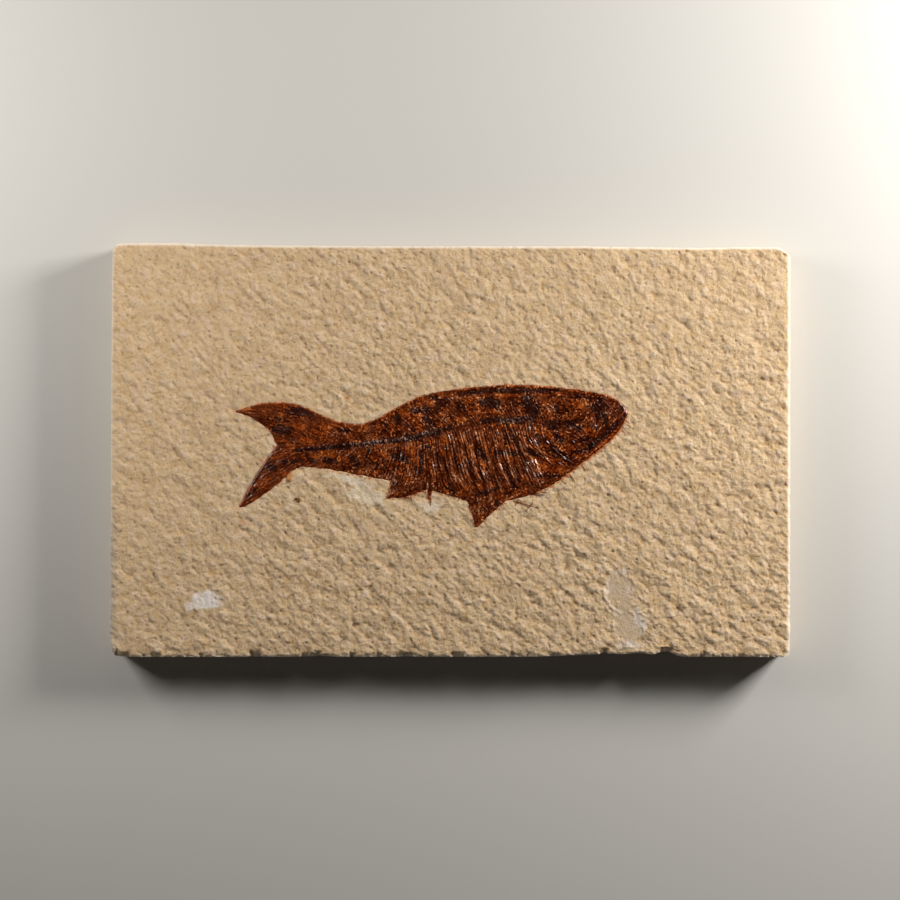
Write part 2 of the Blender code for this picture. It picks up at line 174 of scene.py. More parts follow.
# %% The floor, a sheet of matt paper a hair below the slab
FLOOR_HALF, FLOOR_DROP = 1.5, 0.0002
corners = [(FLOOR_HALF * x, FLOOR_HALF * y, 0) for x, y in ((-1, -1), (1, -1), (1, 1), (-1, 1))]
floor_mesh = bpy.data.meshes.new("floor")
floor_mesh.from_pydata(corners, [], [(0, 1, 2, 3)])
floor = bpy.data.objects.new("floor", floor_mesh)
floor.location.z = -FLOOR_DROP
bpy.context.scene.collection.objects.link(floor)
floor_paint = bpy.data.materials.new("floor_paper")
floor_paint.use_nodes = True
paper = floor_paint.node_tree.nodes["Principled BSDF"]
paper.inputs["Base Color"].default_value = linear("#c4c1bb")
paper.inputs["Roughness"].default_value = 0.9
floor_mesh.materials.append(floor_paint)

# %% [markdown]
# ## Chance, tamed
#
# Broken stone and crushed bone need irregular shapes that never change between runs. *Gradient
# noise* gives soft lumps of a chosen size: every crossing of a grid gets a random slope, and the
# heights between are blended. *Scattered points* give pits and grains: every square of a grid
# holds one point at a random place, and the distance to the nearest one is what is used.
# Both are written out with numpy, because the shader's own noises can't be read from a script.

# %% Noises of a chosen size
TABLE = 256


def smooth_step(t):
    """0 below 0, 1 above 1, and a soft rise between."""
    t = np.clip(t, 0, 1)
    return t * t * (3 - 2 * t)


def fade(t):
    """As smooth_step between 0 and 1, but smoother still at both ends."""
    return t * t * t * (t * (6 * t - 15) + 10)


def soft_noise(x, y, size, seed):
    """Lumps about `size` millimetres across, from about -1 to 1."""
    angles = np.random.default_rng(seed).random((TABLE, TABLE)) * 2 * np.pi
    east, north = np.cos(angles), np.sin(angles)
    u, v = x / size, y / size
    i, j = np.floor(u).astype(int), np.floor(v).astype(int)
    a, b = u - i, v - j
    total = 0
    for di, wa in ((0, 1 - fade(a)), (1, fade(a))):
        for dj, wb in ((0, 1 - fade(b)), (1, fade(b))):
            k, m = (i + di) % TABLE, (j + dj) % TABLE
            total = total + wa * wb * (east[k, m] * (a - di) + north[k, m] * (b - dj))
    return 1.5 * total


def mixed_noise(x, y, *layers):
    """Lumps of several sizes on top of each other: each layer is (share, size in mm, seed)."""
    return sum(share * soft_noise(x, y, size, seed) for share, size, seed in layers)


# %% Scattered points
def to_nearest_point(x, y, size, seed):
    """Distance to the nearest of points scattered about `size` millimetres apart, in that size."""
    px, py = np.random.default_rng(seed).random((2, TABLE, TABLE))
    u, v = x / size, y / size
    i, j = np.floor(u).astype(int), np.floor(v).astype(int)
    nearest = np.full(np.shape(x), 9.0)
    for di in (-1, 0, 1):
        for dj in (-1, 0, 1):
            k, m = (i + di) % TABLE, (j + dj) % TABLE
            nearest = np.minimum(nearest, np.hypot(i + di + px[k, m] - u, j + dj + py[k, m] - v))
    return nearest


# %% [markdown]
# ## The fish's edge
#
# The outline is a chain of smooth runs that meet at the real corners: the tips of the tail, the
# fork, the fins and the one loose spine below the belly. The points are those of the solid model.
# A curve through few points is smoother than the real edge, which is chipped and hairy, so
# a little noise pushes it in and out, more along the jaw and below the anal fin.

# %% Runs of the outline, in hundredths of the fish's length
BACK = [
    (0, 0), (1.5, 2.4), (5.7, 4.7), (13.3, 6.1), (25, 7.3), (35.1, 7.1), (47.5, 5.7), (53.1, 4.3),
    (59.8, 0.9), (66.5, -2.3), (73.1, -2.1), (79.2, 0.4), (84.5, 2.5), (92.8, 2.6), (100, 0.5),
]
FORK_UPPER = [(100, 0.5), (95.4, -1.1), (91.1, -4.2), (89.1, -7.7)]
FORK_LOWER = [(89.1, -7.7), (91.7, -11.5), (95.4, -17.4), (98.9, -24.0)]
TAIL_UNDERSIDE = [
    (98.9, -24), (95.8, -22.9), (89.6, -18.5), (84.6, -14.3), (81.7, -13.5), (74.1, -14.5), (67, -15.9),
    (60.3, -17.1),
]
ANAL_FIN_REAR = [(60.3, -17.1), (60.5, -19.4), (61.3, -21.6)]
ANAL_FIN_EDGE = [(61.3, -21.6), (58.4, -21.4), (55.7, -21.0), (51.0, -19.4)]
STRAY_SPINE_REAR = [(51.0, -19.4), (50.4, -23.2)]
STRAY_SPINE_FRONT = [(50.4, -23.2), (49.5, -19.6)]
BELLY = [(49.5, -19.6), (44.3, -21.1), (40.8, -22.2)]
PELVIC_FIN_REAR = [(40.8, -22.2), (40.0, -24.4), (38.8, -28.7)]
PELVIC_FIN_FRONT = [(38.8, -28.7), (37.6, -28.3), (34.1, -24.8), (30.8, -22.2)]
BREAST_AND_JAW = [
    (30.8, -22.2), (24.2, -20.4), (19.1, -18.1), (12.2, -13), (4.8, -7.2), (1.7, -3.4), (0, 0),
]
OUTLINE_RUNS = [
    BACK, FORK_UPPER, FORK_LOWER, TAIL_UNDERSIDE, ANAL_FIN_REAR, ANAL_FIN_EDGE, STRAY_SPINE_REAR,
    STRAY_SPINE_FRONT, BELLY, PELVIC_FIN_REAR, PELVIC_FIN_FRONT, BREAST_AND_JAW,
]


# %% Smooth curves, and the way out of a loop
def smooth_curve(points, step):
    """A smooth curve through the points, in equal steps of about the given length."""
    p = np.array(points, float)
    p = np.vstack([2 * p[0] - p[1], p, 2 * p[-1] - p[-2]])
    dense = []
    for a, b, c, d in zip(p, p[1:], p[2:], p[3:]):
        for t in np.linspace(0, 1, 24, endpoint=False):
            pull = (2 * b, (c - a) * t, (2 * a - 5 * b + 4 * c - d) * t**2, (3 * b - a - 3 * c + d) * t**3)
            dense.append(0.5 * sum(pull))
    dense = np.array(dense + [p[-2]])
    along = np.concatenate([[0], np.cumsum(np.hypot(*np.diff(dense, axis=0).T))])
    wanted = np.linspace(0, along[-1], max(2, round(along[-1] / step) + 1))
    return np.column_stack([np.interp(wanted, along, dense[:, k]) for k in (0, 1)])


def outward(loop):
    """Unit vectors that point out of an anticlockwise loop at each of its points."""
    ahead = np.roll(loop, -2, axis=0) - np.roll(loop, 2, axis=0)
    ahead /= np.maximum(np.hypot(*ahead.T), 1e-9)[:, None]
    return np.column_stack([ahead[:, 1], -ahead[:, 0]])


# %% The real, chipped edge
EDGE_STEP = 0.14
EDGE_GROWTH = 0.05
EDGE_WEAR = 0.085
RAGGED_EDGES = [
    # (place, reach, extra wear) in mm: the anal fin, the breast, the jaw and the belly
    ((-13, -11.4), 4.2, 0.13), ((24, -6.5), 8, 0.12), ((34, -0.5), 8, 0.1), ((2, -12), 12, 0.06),
]

smooth_edge = np.vstack([smooth_curve(on_slab(run), EDGE_STEP)[:-1] for run in OUTLINE_RUNS])
ex, ey = smooth_edge.T
ragged = np.full(len(ex), EDGE_WEAR)
for (cx, cy), reach, extra in RAGGED_EDGES:
    ragged += extra * smooth_step(1 - np.hypot(ex - cx, ey - cy) / reach)
wear = mixed_noise(ex, ey, (0.6, 1.3, 41), (1, 0.5, 42), (0.5, 0.28, 43))
fish_edge = smooth_edge + (EDGE_GROWTH + ragged * wear)[:, None] * outward(smooth_edge)
edge_length = np.hypot(*np.diff(fish_edge, axis=0).T).sum()
print("fish edge:", len(fish_edge), "points,", edge_length.round(), "mm round")

# %% [markdown]
# ## A chart of the fish
#
# The chart is an array with one cell for every tenth of a millimetre around the fish. Heights and
# markings are drawn into it one bone at a time, as a carver would draw a plan on the wood first.
# The first thing on the chart is the *inset*, how far inside the fish's edge each cell lies
# (negative outside), because the rim, the flank and the cleaned stone around the fish follow it.

# %% The chart and how it is read
CHART_STEP = 0.1
chart_x = np.arange(-57.5, 48.5, CHART_STEP)
chart_y = np.arange(-24.5, 21.0, CHART_STEP)
CX, CY = np.meshgrid(chart_x, chart_y)


def blended(values, i, j, a, b):
    """A grid's values a share `a` of the way from column i to the next, and `b` from row j."""
    lower = values[j, i] * (1 - a) + values[j, i + 1] * a
    upper = values[j + 1, i] * (1 - a) + values[j + 1, i + 1] * a
    return lower * (1 - b) + upper * b


def read_chart(values, x, y):
    """Values of a chart at any places, blended between cells."""
    u = np.clip((x - chart_x[0]) / CHART_STEP, 0, len(chart_x) - 1.001)
    v = np.clip((y - chart_y[0]) / CHART_STEP, 0, len(chart_y) - 1.001)
    i, j = u.astype(int), v.astype(int)
    return blended(values, i, j, u - i, v - j)


def chart_noise(*layers):
    """Lumps of several sizes on the chart: each layer is (share, size in mm, seed)."""
    return mixed_noise(CX, CY, *layers)


# %% Distances to lines
def to_line(px, py, line):
    """(the distance of places to a line of points, the share of the way along it)."""
    best, share = np.full(px.shape, 1e9), np.zeros(px.shape)
    for k, (a, b) in enumerate(zip(line, line[1:])):
        ahead = b - a
        t = np.clip(((px - a[0]) * ahead[0] + (py - a[1]) * ahead[1]) / max(ahead @ ahead, 1e-12), 0, 1)
        away = np.hypot(px - a[0] - t * ahead[0], py - a[1] - t * ahead[1])
        closer = away < best
        best = np.where(closer, away, best)
        share = np.where(closer, (k + t) / (len(line) - 1), share)
    return best, share


def near(line, reach):
    """(the chart's part near a line, the distance to it there, the share of the way along it)."""
    line = np.asarray(line, float)
    (x0, y0), (x1, y1) = line.min(0) - reach, line.max(0) + reach
    rows = slice(*np.searchsorted(chart_y, (y0, y1)))
    columns = slice(*np.searchsorted(chart_x, (x0, x1)))
    return (rows, columns), *to_line(CX[rows, columns], CY[rows, columns], line)


# %% Far from the edge or close to it, inside or outside
# Close to the edge the inset follows every chip of it, farther in the smooth edge is enough
FINE_REACH, FAR = 1.2, 7.0


def distance_to_loop(loop, reach, chunk):
    """Distance of every cell of the chart to a loop, or `reach` where it is farther."""
    closed = np.vstack([loop, loop[:1]])
    away = np.full(CX.shape, reach)
    for start in range(0, len(loop), chunk):
        part, found, _ = near(closed[start:start + chunk + 1], reach)
        away[part] = np.minimum(away[part], found)
    return away


def inside_loop(loop):
    """Which cells lie inside: each crossing of a row flips all the cells to its right."""
    flips = np.zeros((CX.shape[0], CX.shape[1] + 1), int)
    for (x0, y0), (x1, y1) in zip(loop, np.roll(loop, -1, axis=0)):
        first, last = np.searchsorted(chart_y, sorted((y0, y1)))
        for row in range(first, last):
            x = x0 + (chart_y[row] - y0) * (x1 - x0) / (y1 - y0)
            flips[row, np.searchsorted(chart_x, x)] += 1
    return np.cumsum(flips, axis=1)[:, :-1] % 2 == 1


# %% Measure the inset
fine = distance_to_loop(fish_edge, FINE_REACH, 6)
coarse = distance_to_loop(smooth_edge[::8], FAR, 4)
inside = inside_loop(fish_edge)
inset = np.where(fine < 1.0, fine, np.maximum(coarse, 1.0)) * np.where(inside, 1, -1)
print("fish area in mm2:", round(inside.sum() * CHART_STEP**2), "deepest inset:", inset.max().round(1))

# %% [markdown]
# ## The grain of the bone
#
# Fossil fish bone is fibrous, and every part has its own direction: ribs lean forward going down,
# the spines above the backbone lean back, tail rays fan out. The photograph gives the direction at
# a number of places. Between them it is blended, with the nearest places counting most. A grain
# has no front or back end, so it is the *doubled* angle that is blended: 179 and 1 degree
# are almost the same grain.

# %% Directions of the grain, at places in hundredths of the fish's length
GRAIN = [
    (42.9, -6.2, 106), (38.1, -6.2, 105), (33.3, -6.2, 107), (28.5, -6.2, 107), (47.7, -9.7, 95),
    (42.9, -9.7, 100), (38.1, -9.7, 98), (33.3, -9.7, 99), (28.5, -9.7, 110), (47.7, -13.3, 104),
    (42.9, -13.3, 103), (38.1, -13.3, 109), (33.3, -13.3, 113), (28.5, -13.3, 118), (43, -17, 117),
    (38.1, -16.8, 120), (33.3, -16.8, 116), (28.5, -16.8, 124), (52.8, -9.2, 90), (57.9, -13, 80),
    (50, -16, 95), (65.5, -10.5, 60), (75.6, -9.6, 52), (62, -13.5, 68), (37.6, 1.4, 138), (45, -0.4, 140),
    (50.3, 0.6, 140), (56, -2.6, 134), (62, -3.4, 130), (73, -4.8, 122), (30, 2.2, 128), (25, 3, 125),
    (30, 6.4, 3), (42, 5.9, 6), (51, 4.2, 18), (59, 0.1, 35), (66, -3.2, 20), (74, -2.9, 170),
    (80, -0.3, 156), (18, 5.6, 176), (10, 4.8, 172), (4, 2.8, 155), (93, 0.6, 172), (88, -0.6, 168),
    (86, -4.6, 160), (92, -2.2, 155), (82, -5.5, 150), (81, -9.5, 5), (84.5, -7.4, 175), (88, -13, 42),
    (93, -18, 46), (96.5, -21.5, 47), (86, -10.5, 32), (80, -12.4, 12), (70, -14.4, 10), (57, -19.4, 62),
    (60, -19.6, 70), (53, -18.6, 45), (50.3, -21.5, 84), (45, -20.2, 160), (30, -21, 22), (40, -24.5, 108),
    (38.4, -26.6, 96), (35.6, -24.6, 60), (24, -15.5, 118), (22, -18.6, 25), (27, -18.6, 112),
    (13.6, -0.9, 28), (11.6, -3, 33), (17.2, 0.8, 20), (21.6, -2.2, 100), (21.4, -6.6, 110),
    (25.2, -3, 100), (23.6, -9.7, 150), (18.8, -9.7, 158), (14, -6.4, 152), (14, -9.7, 175),
    (19.4, -14.4, 30), (14, -13, 38), (8, -8.4, 43), (3.6, -4.2, 48), (1.6, 0.4, 75), (5.2, 0.8, 110),
    (9.6, -1, 80), (7.4, -4.6, 40), (18.4, -5.4, 60), (12.4, -6, 20), (16.6, -2.8, 40),
]
grain_places = on_slab([(x, y) for x, y, _ in GRAIN])
grain_angles = 2 * np.radians([angle for _, _, angle in GRAIN])


# %% The grain anywhere
def grain_at(x, y):
    """Direction of the grain at places on the slab, in radians."""
    east = north = 0
    for (gx, gy), twice in zip(grain_places, grain_angles):
        weight = 1 / ((x - gx) ** 2 + (y - gy) ** 2 + 0.4) ** 1.5
        east = east + weight * np.cos(twice)
        north = north + weight * np.sin(twice)
    return 0.5 * np.arctan2(north, east)


HEAD_START, HEAD_FADE = 21, 3.0
in_head = smooth_step((CX - on_slab([(HEAD_START, 0)])[0, 0]) / HEAD_FADE)
crumpled = chart_noise((0.18, 1.3, 45)) + in_head * chart_noise((0.9, 1.6, 46))
grain = grain_at(CX, CY) + crumpled

# %% [markdown]
# ## Fibres
#
# To turn noise into fibres it is *combed*: at each cell, the noise is averaged over a short walk
# along the grain, forwards and backwards. What differs along the grain is evened out and what
# differs across it stays, which leaves streaks. A coarse comb makes the bundles that show as
# streaks in the photograph, and a fine one the threads in them.


# %% Comb a noise along the grain
COMBED_BORDER = 0.6


def comb(noise, reach, turned=0.0):
    """A noise averaged along the grain, turned or not, with mean 0 and spread 1 inside the fish."""
    grain_east, grain_north = np.cos(grain + turned), np.sin(grain + turned)
    where = inset > -COMBED_BORDER
    start_x, start_y = CX[where], CY[where]
    total = noise[where].copy()
    for sense in (1, -1):
        x, y = start_x.copy(), start_y.copy()
        east, north = sense * grain_east[where], sense * grain_north[where]
        for _ in range(round(reach / CHART_STEP)):
            x += CHART_STEP * east
            y += CHART_STEP * north
            i = np.clip(((x - chart_x[0]) / CHART_STEP + 0.5).astype(int), 0, len(chart_x) - 1)
            j = np.clip(((y - chart_y[0]) / CHART_STEP + 0.5).astype(int), 0, len(chart_y) - 1)
            new_east, new_north = grain_east[j, i], grain_north[j, i]
            turn = np.where(new_east * east + new_north * north < 0, -1, 1)
            east, north = turn * new_east, turn * new_north
            total += read_chart(noise, x, y)
    streaks = np.zeros(CX.shape)
    streaks[where] = (total - total.mean()) / total.std()
    return streaks


# %% Four combed noises
rng = np.random.default_rng(23)
speckle = rng.random(CX.shape) - 0.5
long_fibres = comb(chart_noise((1, 0.44, 56), (0.7, 0.30, 57)), 1.3)
bundles = comb(chart_noise((1, 0.38, 51), (0.5, 0.26, 52)), 0.5)
swathes = comb(chart_noise((1, 1.15, 58), (0.5, 0.75, 59)), 2.0)
threads = comb(chart_noise((1, 0.22, 53)) + 0.8 * speckle, 0.4)

# %% Crumbs of crushed bone
# Crushed bone has no grain: there the comb turns this way and that and leaves short strokes
wild = chart_noise((3.0, 1.7, 103))
strokes = comb(chart_noise((1, 0.40, 101), (0.6, 0.26, 102)), 0.35, wild)
# Crumbs are read at bent places, so that they aren't all equally round
bent_x = CX + chart_noise((0.25, 0.7, 95))
bent_y = CY + chart_noise((0.25, 0.7, 96))
crumbs = mixed_noise(bent_x, bent_y, (1, 0.40, 54), (0.8, 0.26, 55))
crumbs /= crumbs.std()
print("combed", int((inset > -COMBED_BORDER).sum()), "cells")

# %% [markdown]
# ## Bones
#
# Each bone is a ridge with a round top along a line. Most of the lines don't have to be drawn: ribs,
# spines and the fine bones between them grow from the backbone *along the grain*, so they are traced
# by walking through the field of directions. Only the bones of the head and the backbone itself are
# given as points.

# %% Lines of the skeleton, in hundredths of the fish's length
BACKBONE = [
    (85, -9.2), (71.8, -7.9), (57.9, -6.5), (50.3, -4.7), (42.7, -2.9), (35.1, -1.8), (25.5, -0.8),
]
VERTEBRA = 1.55
HEAD_BONES = [
    # (points, half width in mm, height in mm)
    ([(25.4, -1.8), (25, -4), (24.2, -6.2), (22.2, -9.7), (19.1, -13.3)], 0.34, 0.24),
    ([(20.4, 2), (22, -2.2), (21.3, -6.2), (18, -9.6)], 0.3, 0.16),
    ([(12.4, 2.2), (14, -1.6), (14.6, -5.7), (12.6, -9)], 0.3, 0.16),
    ([(1.7, -0.6), (5.7, -3.9), (9.3, -6.9)], 0.4, 0.26),
    ([(1.9, -1.9), (6.2, -6.3), (12.3, -10.7), (17.4, -14)], 0.42, 0.3),
    ([(3.4, 3.2), (8, 4.2), (14.5, 4.4), (21, 5)], 0.4, 0.22), ([(19.6, -8.4), (15.3, -12.1)], 0.34, 0.28),
    ([(19.2, -11.4), (16, -13.6)], 0.22, 0.2), ([(20.6, -12.6), (17.6, -15.2)], 0.22, 0.18),
    ([(22, -13.6), (19.2, -16.4)], 0.22, 0.18), ([(10.8, -5.8), (8.2, -8.2)], 0.26, 0.2),
    ([(19.5, 0.6), (16.5, 0.4), (13.4, -1.2)], 0.22, 0.16),
    ([(19.2, -2.2), (16.2, -2.6), (13.8, -3.6)], 0.22, 0.14),
]
# Thin strands of the cheek, the gill cover and the jaws, in pixels of the photograph
HEAD_STRANDS = [
    [(557.8, 417.7), (565.3, 415.4), (574.3, 411.6), (580.4, 407.1)],
    [(560, 421), (568, 418.6), (577, 414), (584, 408)], [(574.3, 419.2), (581.9, 413.1), (587.9, 408.6)],
    [(577.3, 421.4), (584.1, 416.1), (589.4, 412.4)],
    [(592.4, 429.7), (595.4, 422.2), (593.9, 413.1), (590.9, 407.1)],
    [(598, 432), (602, 424), (601, 414), (597.5, 406.5)], [(538, 448.5), (550, 449.3), (556, 447.8)],
    [(568.3, 459.8), (574.3, 463.6), (580.4, 462.8), (586.4, 456.8)],
    [(586.4, 456.8), (595.4, 449.3), (604.5, 443.3)], [(581.9, 426.7), (586.4, 432.7), (592.4, 435)],
    [(541, 404), (548, 409), (552, 417), (551, 426)], [(545, 402), (553, 408), (557, 416), (557, 424)],
    [(560, 430), (570, 433), (579, 438.5), (588, 446)], [(556, 434), (566, 438), (574, 444), (580, 451)],
    [(608, 420), (613, 413), (618, 409)], [(610, 425), (617, 418), (622, 414)],
]
EYE = (7.5, -0.9)
EYE_HALF = (1.7, 2.9)


# %% Lines along the grain, and ridges along lines
TRACE_STEP = 0.3
BLUNT_END = 0.15


def trace(start, length, towards):
    """A line from a place along the grain, on the side of the given direction."""
    place = np.array(start, float)
    ahead = np.array(towards, float)
    line = [place.copy()]
    for _ in range(max(2, round(length / TRACE_STEP))):
        angle = float(grain_at(place[0], place[1]))
        way = np.array((math.cos(angle), math.sin(angle)))
        ahead = way if way @ ahead > 0 else -way
        place = place + TRACE_STEP * ahead
        line.append(place.copy())
    return np.array(line)


def add_ridge(heights, line, half_width, start, end):
    """Raises the chart to a ridge along a line, from one height to another."""
    part, away, share = near(line, half_width)
    top = start + (end - start) * share
    taper = smooth_step(np.minimum(share, 1 - share) / BLUNT_END + 0.25)
    heights[part] = np.maximum(heights[part], top * taper * (1 - smooth_step(away / half_width)))


# %% Ribs, spines and the bones between them
backbone = smooth_curve(on_slab(BACKBONE), 0.25)
backbone_length = np.hypot(*np.diff(backbone, axis=0).T).sum()
vertebra_count = round(backbone_length / (VERTEBRA * FISH_LENGTH / 100))


def on_backbone(share):
    """A place on the backbone and its direction, at a share of the way from the tail."""
    at = share * (len(backbone) - 1)
    k = min(int(at), len(backbone) - 2)
    ahead = (backbone[k + 1] - backbone[k]) / np.hypot(*(backbone[k + 1] - backbone[k]))
    return backbone[k] + (at - k) * (backbone[k + 1] - backbone[k]), ahead


# %% The charts of the bones
# Each bone is a ridge, and most also get a painted highlight along it, with a gap of painted shade on both
# sides of it
bones, highlight_stripes, shade_flanks = np.zeros((3, *CX.shape))


def add_bone(line, *drawn):
    """Draws a bone on up to three charts: (half width in mm, value at its start, at its end)."""
    for chart, (half_width, start, end) in zip((bones, highlight_stripes, shade_flanks), drawn):
        add_ridge(chart, line, half_width, start, end)


# Each is (ridge, painted highlight, reach of the painted shade), as (half width in mm, value at its start, at
# its end)
SPINE = ((0.24, 0.09, 0.05), (0.22, 0.7, 0.4), (0.55, 0.7, 0.4))
RIB = ((0.30, 0.15, 0.11), (0.22, 1.0, 0.8), (0.66, 1.0, 0.8))
RIB_OF_FAR_SIDE = ((0.24, 0.08, 0.05), (0.20, 0.6, 0.4))
# Lengths in mm by the share of the way from the tail to the head
SPINES_ABOVE = [(0, 3.6), (0.3, 5.2), (0.6, 7.6), (1, 5.0)]
SPINES_BELOW = [(0, 3.0), (0.15, 4.2), (0.42, 8.2)]
RIBS_BELOW = [(0.40, 9.0), (0.55, 13.5), (0.85, 16.0), (1, 12.0)]

# %% Grow the ribs and spines from the backbone
# Spines below the backbone reach as far forward as the anal fin, where the ribs begin
LAST_SPINE_BELOW, FIRST_RIB = 0.42, 0.40
rng = np.random.default_rng(31)
for number in range(vertebra_count):
    share = (number + 0.5) / vertebra_count
    place, ahead = on_backbone(share)
    across = np.array((-ahead[1], ahead[0]))
    # Upwards: a spine on every vertebra, leaning back to the tail
    length = np.interp(share, *zip(*SPINES_ABOVE)) * (0.85 + 0.3 * rng.random())
    add_bone(trace(place + 0.8 * across, length, (-0.6, 1)), *SPINE)
    # Downwards: spines behind the belly, ribs along it, with a finer one of the far side between
    if share < LAST_SPINE_BELOW:
        length = np.interp(share, *zip(*SPINES_BELOW)) * (0.85 + 0.3 * rng.random())
        add_bone(trace(place - 0.8 * across, length, (-0.3, -1)), *SPINE)
    if share > FIRST_RIB:
        length = np.interp(share, *zip(*RIBS_BELOW)) * (0.9 + 0.2 * rng.random())
        root = place - 0.9 * across
        add_bone(trace(root, length, (0.2, -1)), *RIB)
        beside = root + (0.45 + 0.3 * rng.random()) * ahead
        add_bone(trace(beside, 0.8 * length, (0.2, -1)), *RIB_OF_FAR_SIDE)
print("vertebrae:", vertebra_count, "bones up to", bones.max().round(2), "mm high")

# %% Vertebrae: drums with a waist, in a row
COLUMN_HALF, COLUMN_HEIGHT = 0.60, 0.36
# Towards the head the column sinks below the ribs, then shows again: (share, how far it stands out)
COLUMN_STANDS_OUT = [
    (0, 0.7), (0.05, 1), (0.5, 0.9), (0.65, 0.75), (0.71, 0.12), (0.8, 0.12), (0.84, 0.35), (1, 0.3),
]
part, away, share = near(backbone, COLUMN_HALF + 0.2)
along = share * vertebra_count
from_middle = np.abs(2 * (along - np.floor(along)) - 1)
half = COLUMN_HALF * (0.55 + 0.45 * from_middle**1.5)
drum = np.sqrt(np.clip(1 - (away / half) ** 2, 0, 1)) * (0.72 + 0.28 * from_middle)
drum *= 1 - 0.75 * smooth_step((from_middle - 0.86) / 0.12)
stands_out = np.interp(share, *zip(*COLUMN_STANDS_OUT))
drum *= stands_out
bones[part] = np.maximum(bones[part], COLUMN_HEIGHT * drum)
column_shadow = np.zeros(CX.shape)
column_shadow[part] = smooth_step(2 * stands_out) * (1 - smooth_step((away - 0.35) / 0.40))


# %% Fin rays
def along_line(line, share):
    """The point at a share of the way along a line of points, measured by the points' number."""
    place = share * (len(line) - 1)
    return np.array([np.interp(place, range(len(line)), [p[k] for p in line]) for k in (0, 1)])


RAY_JOINT = 2.2
FIN_FANS = [
    # (base, edge, number of rays, half width in mm, height in mm)
    ([(84.6, 1.6), (85.8, -4), (87, -7.6)], FORK_UPPER, 11, 0.26, 0.2),
    ([(87, -8), (85.6, -11), (84.2, -13.9)], FORK_LOWER, 11, 0.26, 0.2),
    ([(40.4, -22), (32.4, -21.9)], [(39.6, -28.2), (34.9, -25.3)], 7, 0.26, 0.18),
    ([(59.6, -16.4), (51.4, -17.8)], [(61.2, -21.4), (52.6, -19.9)], 9, 0.24, 0.16),
    ([(26.6, -12.8), (23.4, -11.6)], [(23.8, -19.4), (20.8, -17.4)], 5, 0.3, 0.34),
]
for base, edge, count, half_width, ray_height in FIN_FANS:
    for share in (np.arange(count) + 0.5) / count:
        root, tip = along_line(base, share), along_line(edge, share)
        bent = (root + tip) / 2 + (0.25, 0.1)
        ray = smooth_curve(on_slab([root, bent, tip]), 0.4)
        part, away, place = near(ray, half_width)
        # The outer part of a ray is jointed
        wave = np.cos(2 * np.pi * place * len(ray) / RAY_JOINT)
        joints = 1 - 0.35 * smooth_step(2 * wave - 1) * (place > 0.35)
        top = ray_height * (1 - 0.55 * place) * joints
        bones[part] = np.maximum(bones[part], top * (1 - smooth_step(away / half_width)))
print("fin rays:", sum(fan[2] for fan in FIN_FANS))

# %% Bones of the head, and what crushing did to all of them
for points, half_width, top in HEAD_BONES:
    line = smooth_curve(on_slab(points), 0.4)
    add_bone(line, (half_width, top, 0.85 * top), (0.24, 0.6, 0.5), (0.70, 0.9, 0.8))
for pixels in HEAD_STRANDS:
    line = smooth_curve([at_pixel(*p) for p in pixels], 0.4)
    add_bone(line, (0.26, 0.14, 0.12), (0.24, 0.9, 0.8), (0.60, 0.9, 0.8))

# Every bone is broken into short pieces
pieces = smooth_step(0.5 + chart_noise((1.2, 2.2, 36), (0.4, 0.9, 37)))
bones *= 0.5 + 0.5 * pieces
highlight_stripes *= 0.55 + 0.45 * pieces
# Painted shade in the gaps beside the bones, outside their painted highlights
shaded_gaps = np.clip(shade_flanks - 1.4 * highlight_stripes, 0, 1)
print("bones and strands of the head:", len(HEAD_BONES) + len(HEAD_STRANDS))

# %% Edges that catch the light
# The rim of each vertebra stands out across the backbone
RIMLESS_VERTEBRAE = 3
for number in range(vertebra_count):
    share = (number + 0.5) / vertebra_count
    place, ahead = on_backbone(share)
    across = np.array((-ahead[1], ahead[0])) * (0.30 + 0.12 * rng.random())
    if number >= RIMLESS_VERTEBRAE:
        place = place + 0.2 * (rng.random(2) - 0.5)
        rim_line = np.array([place - across, place, place + across])
        clear = np.interp(share, *zip(*COLUMN_STANDS_OUT))
        # Each rim also gets a painted highlight, a pale tick across the black backbone
        pale = 2.0 * clear * rng.random()
        add_bone(rim_line, (0.24, 0.40 * clear, 0.34 * clear), (0.22, pale, 1.4 * clear))

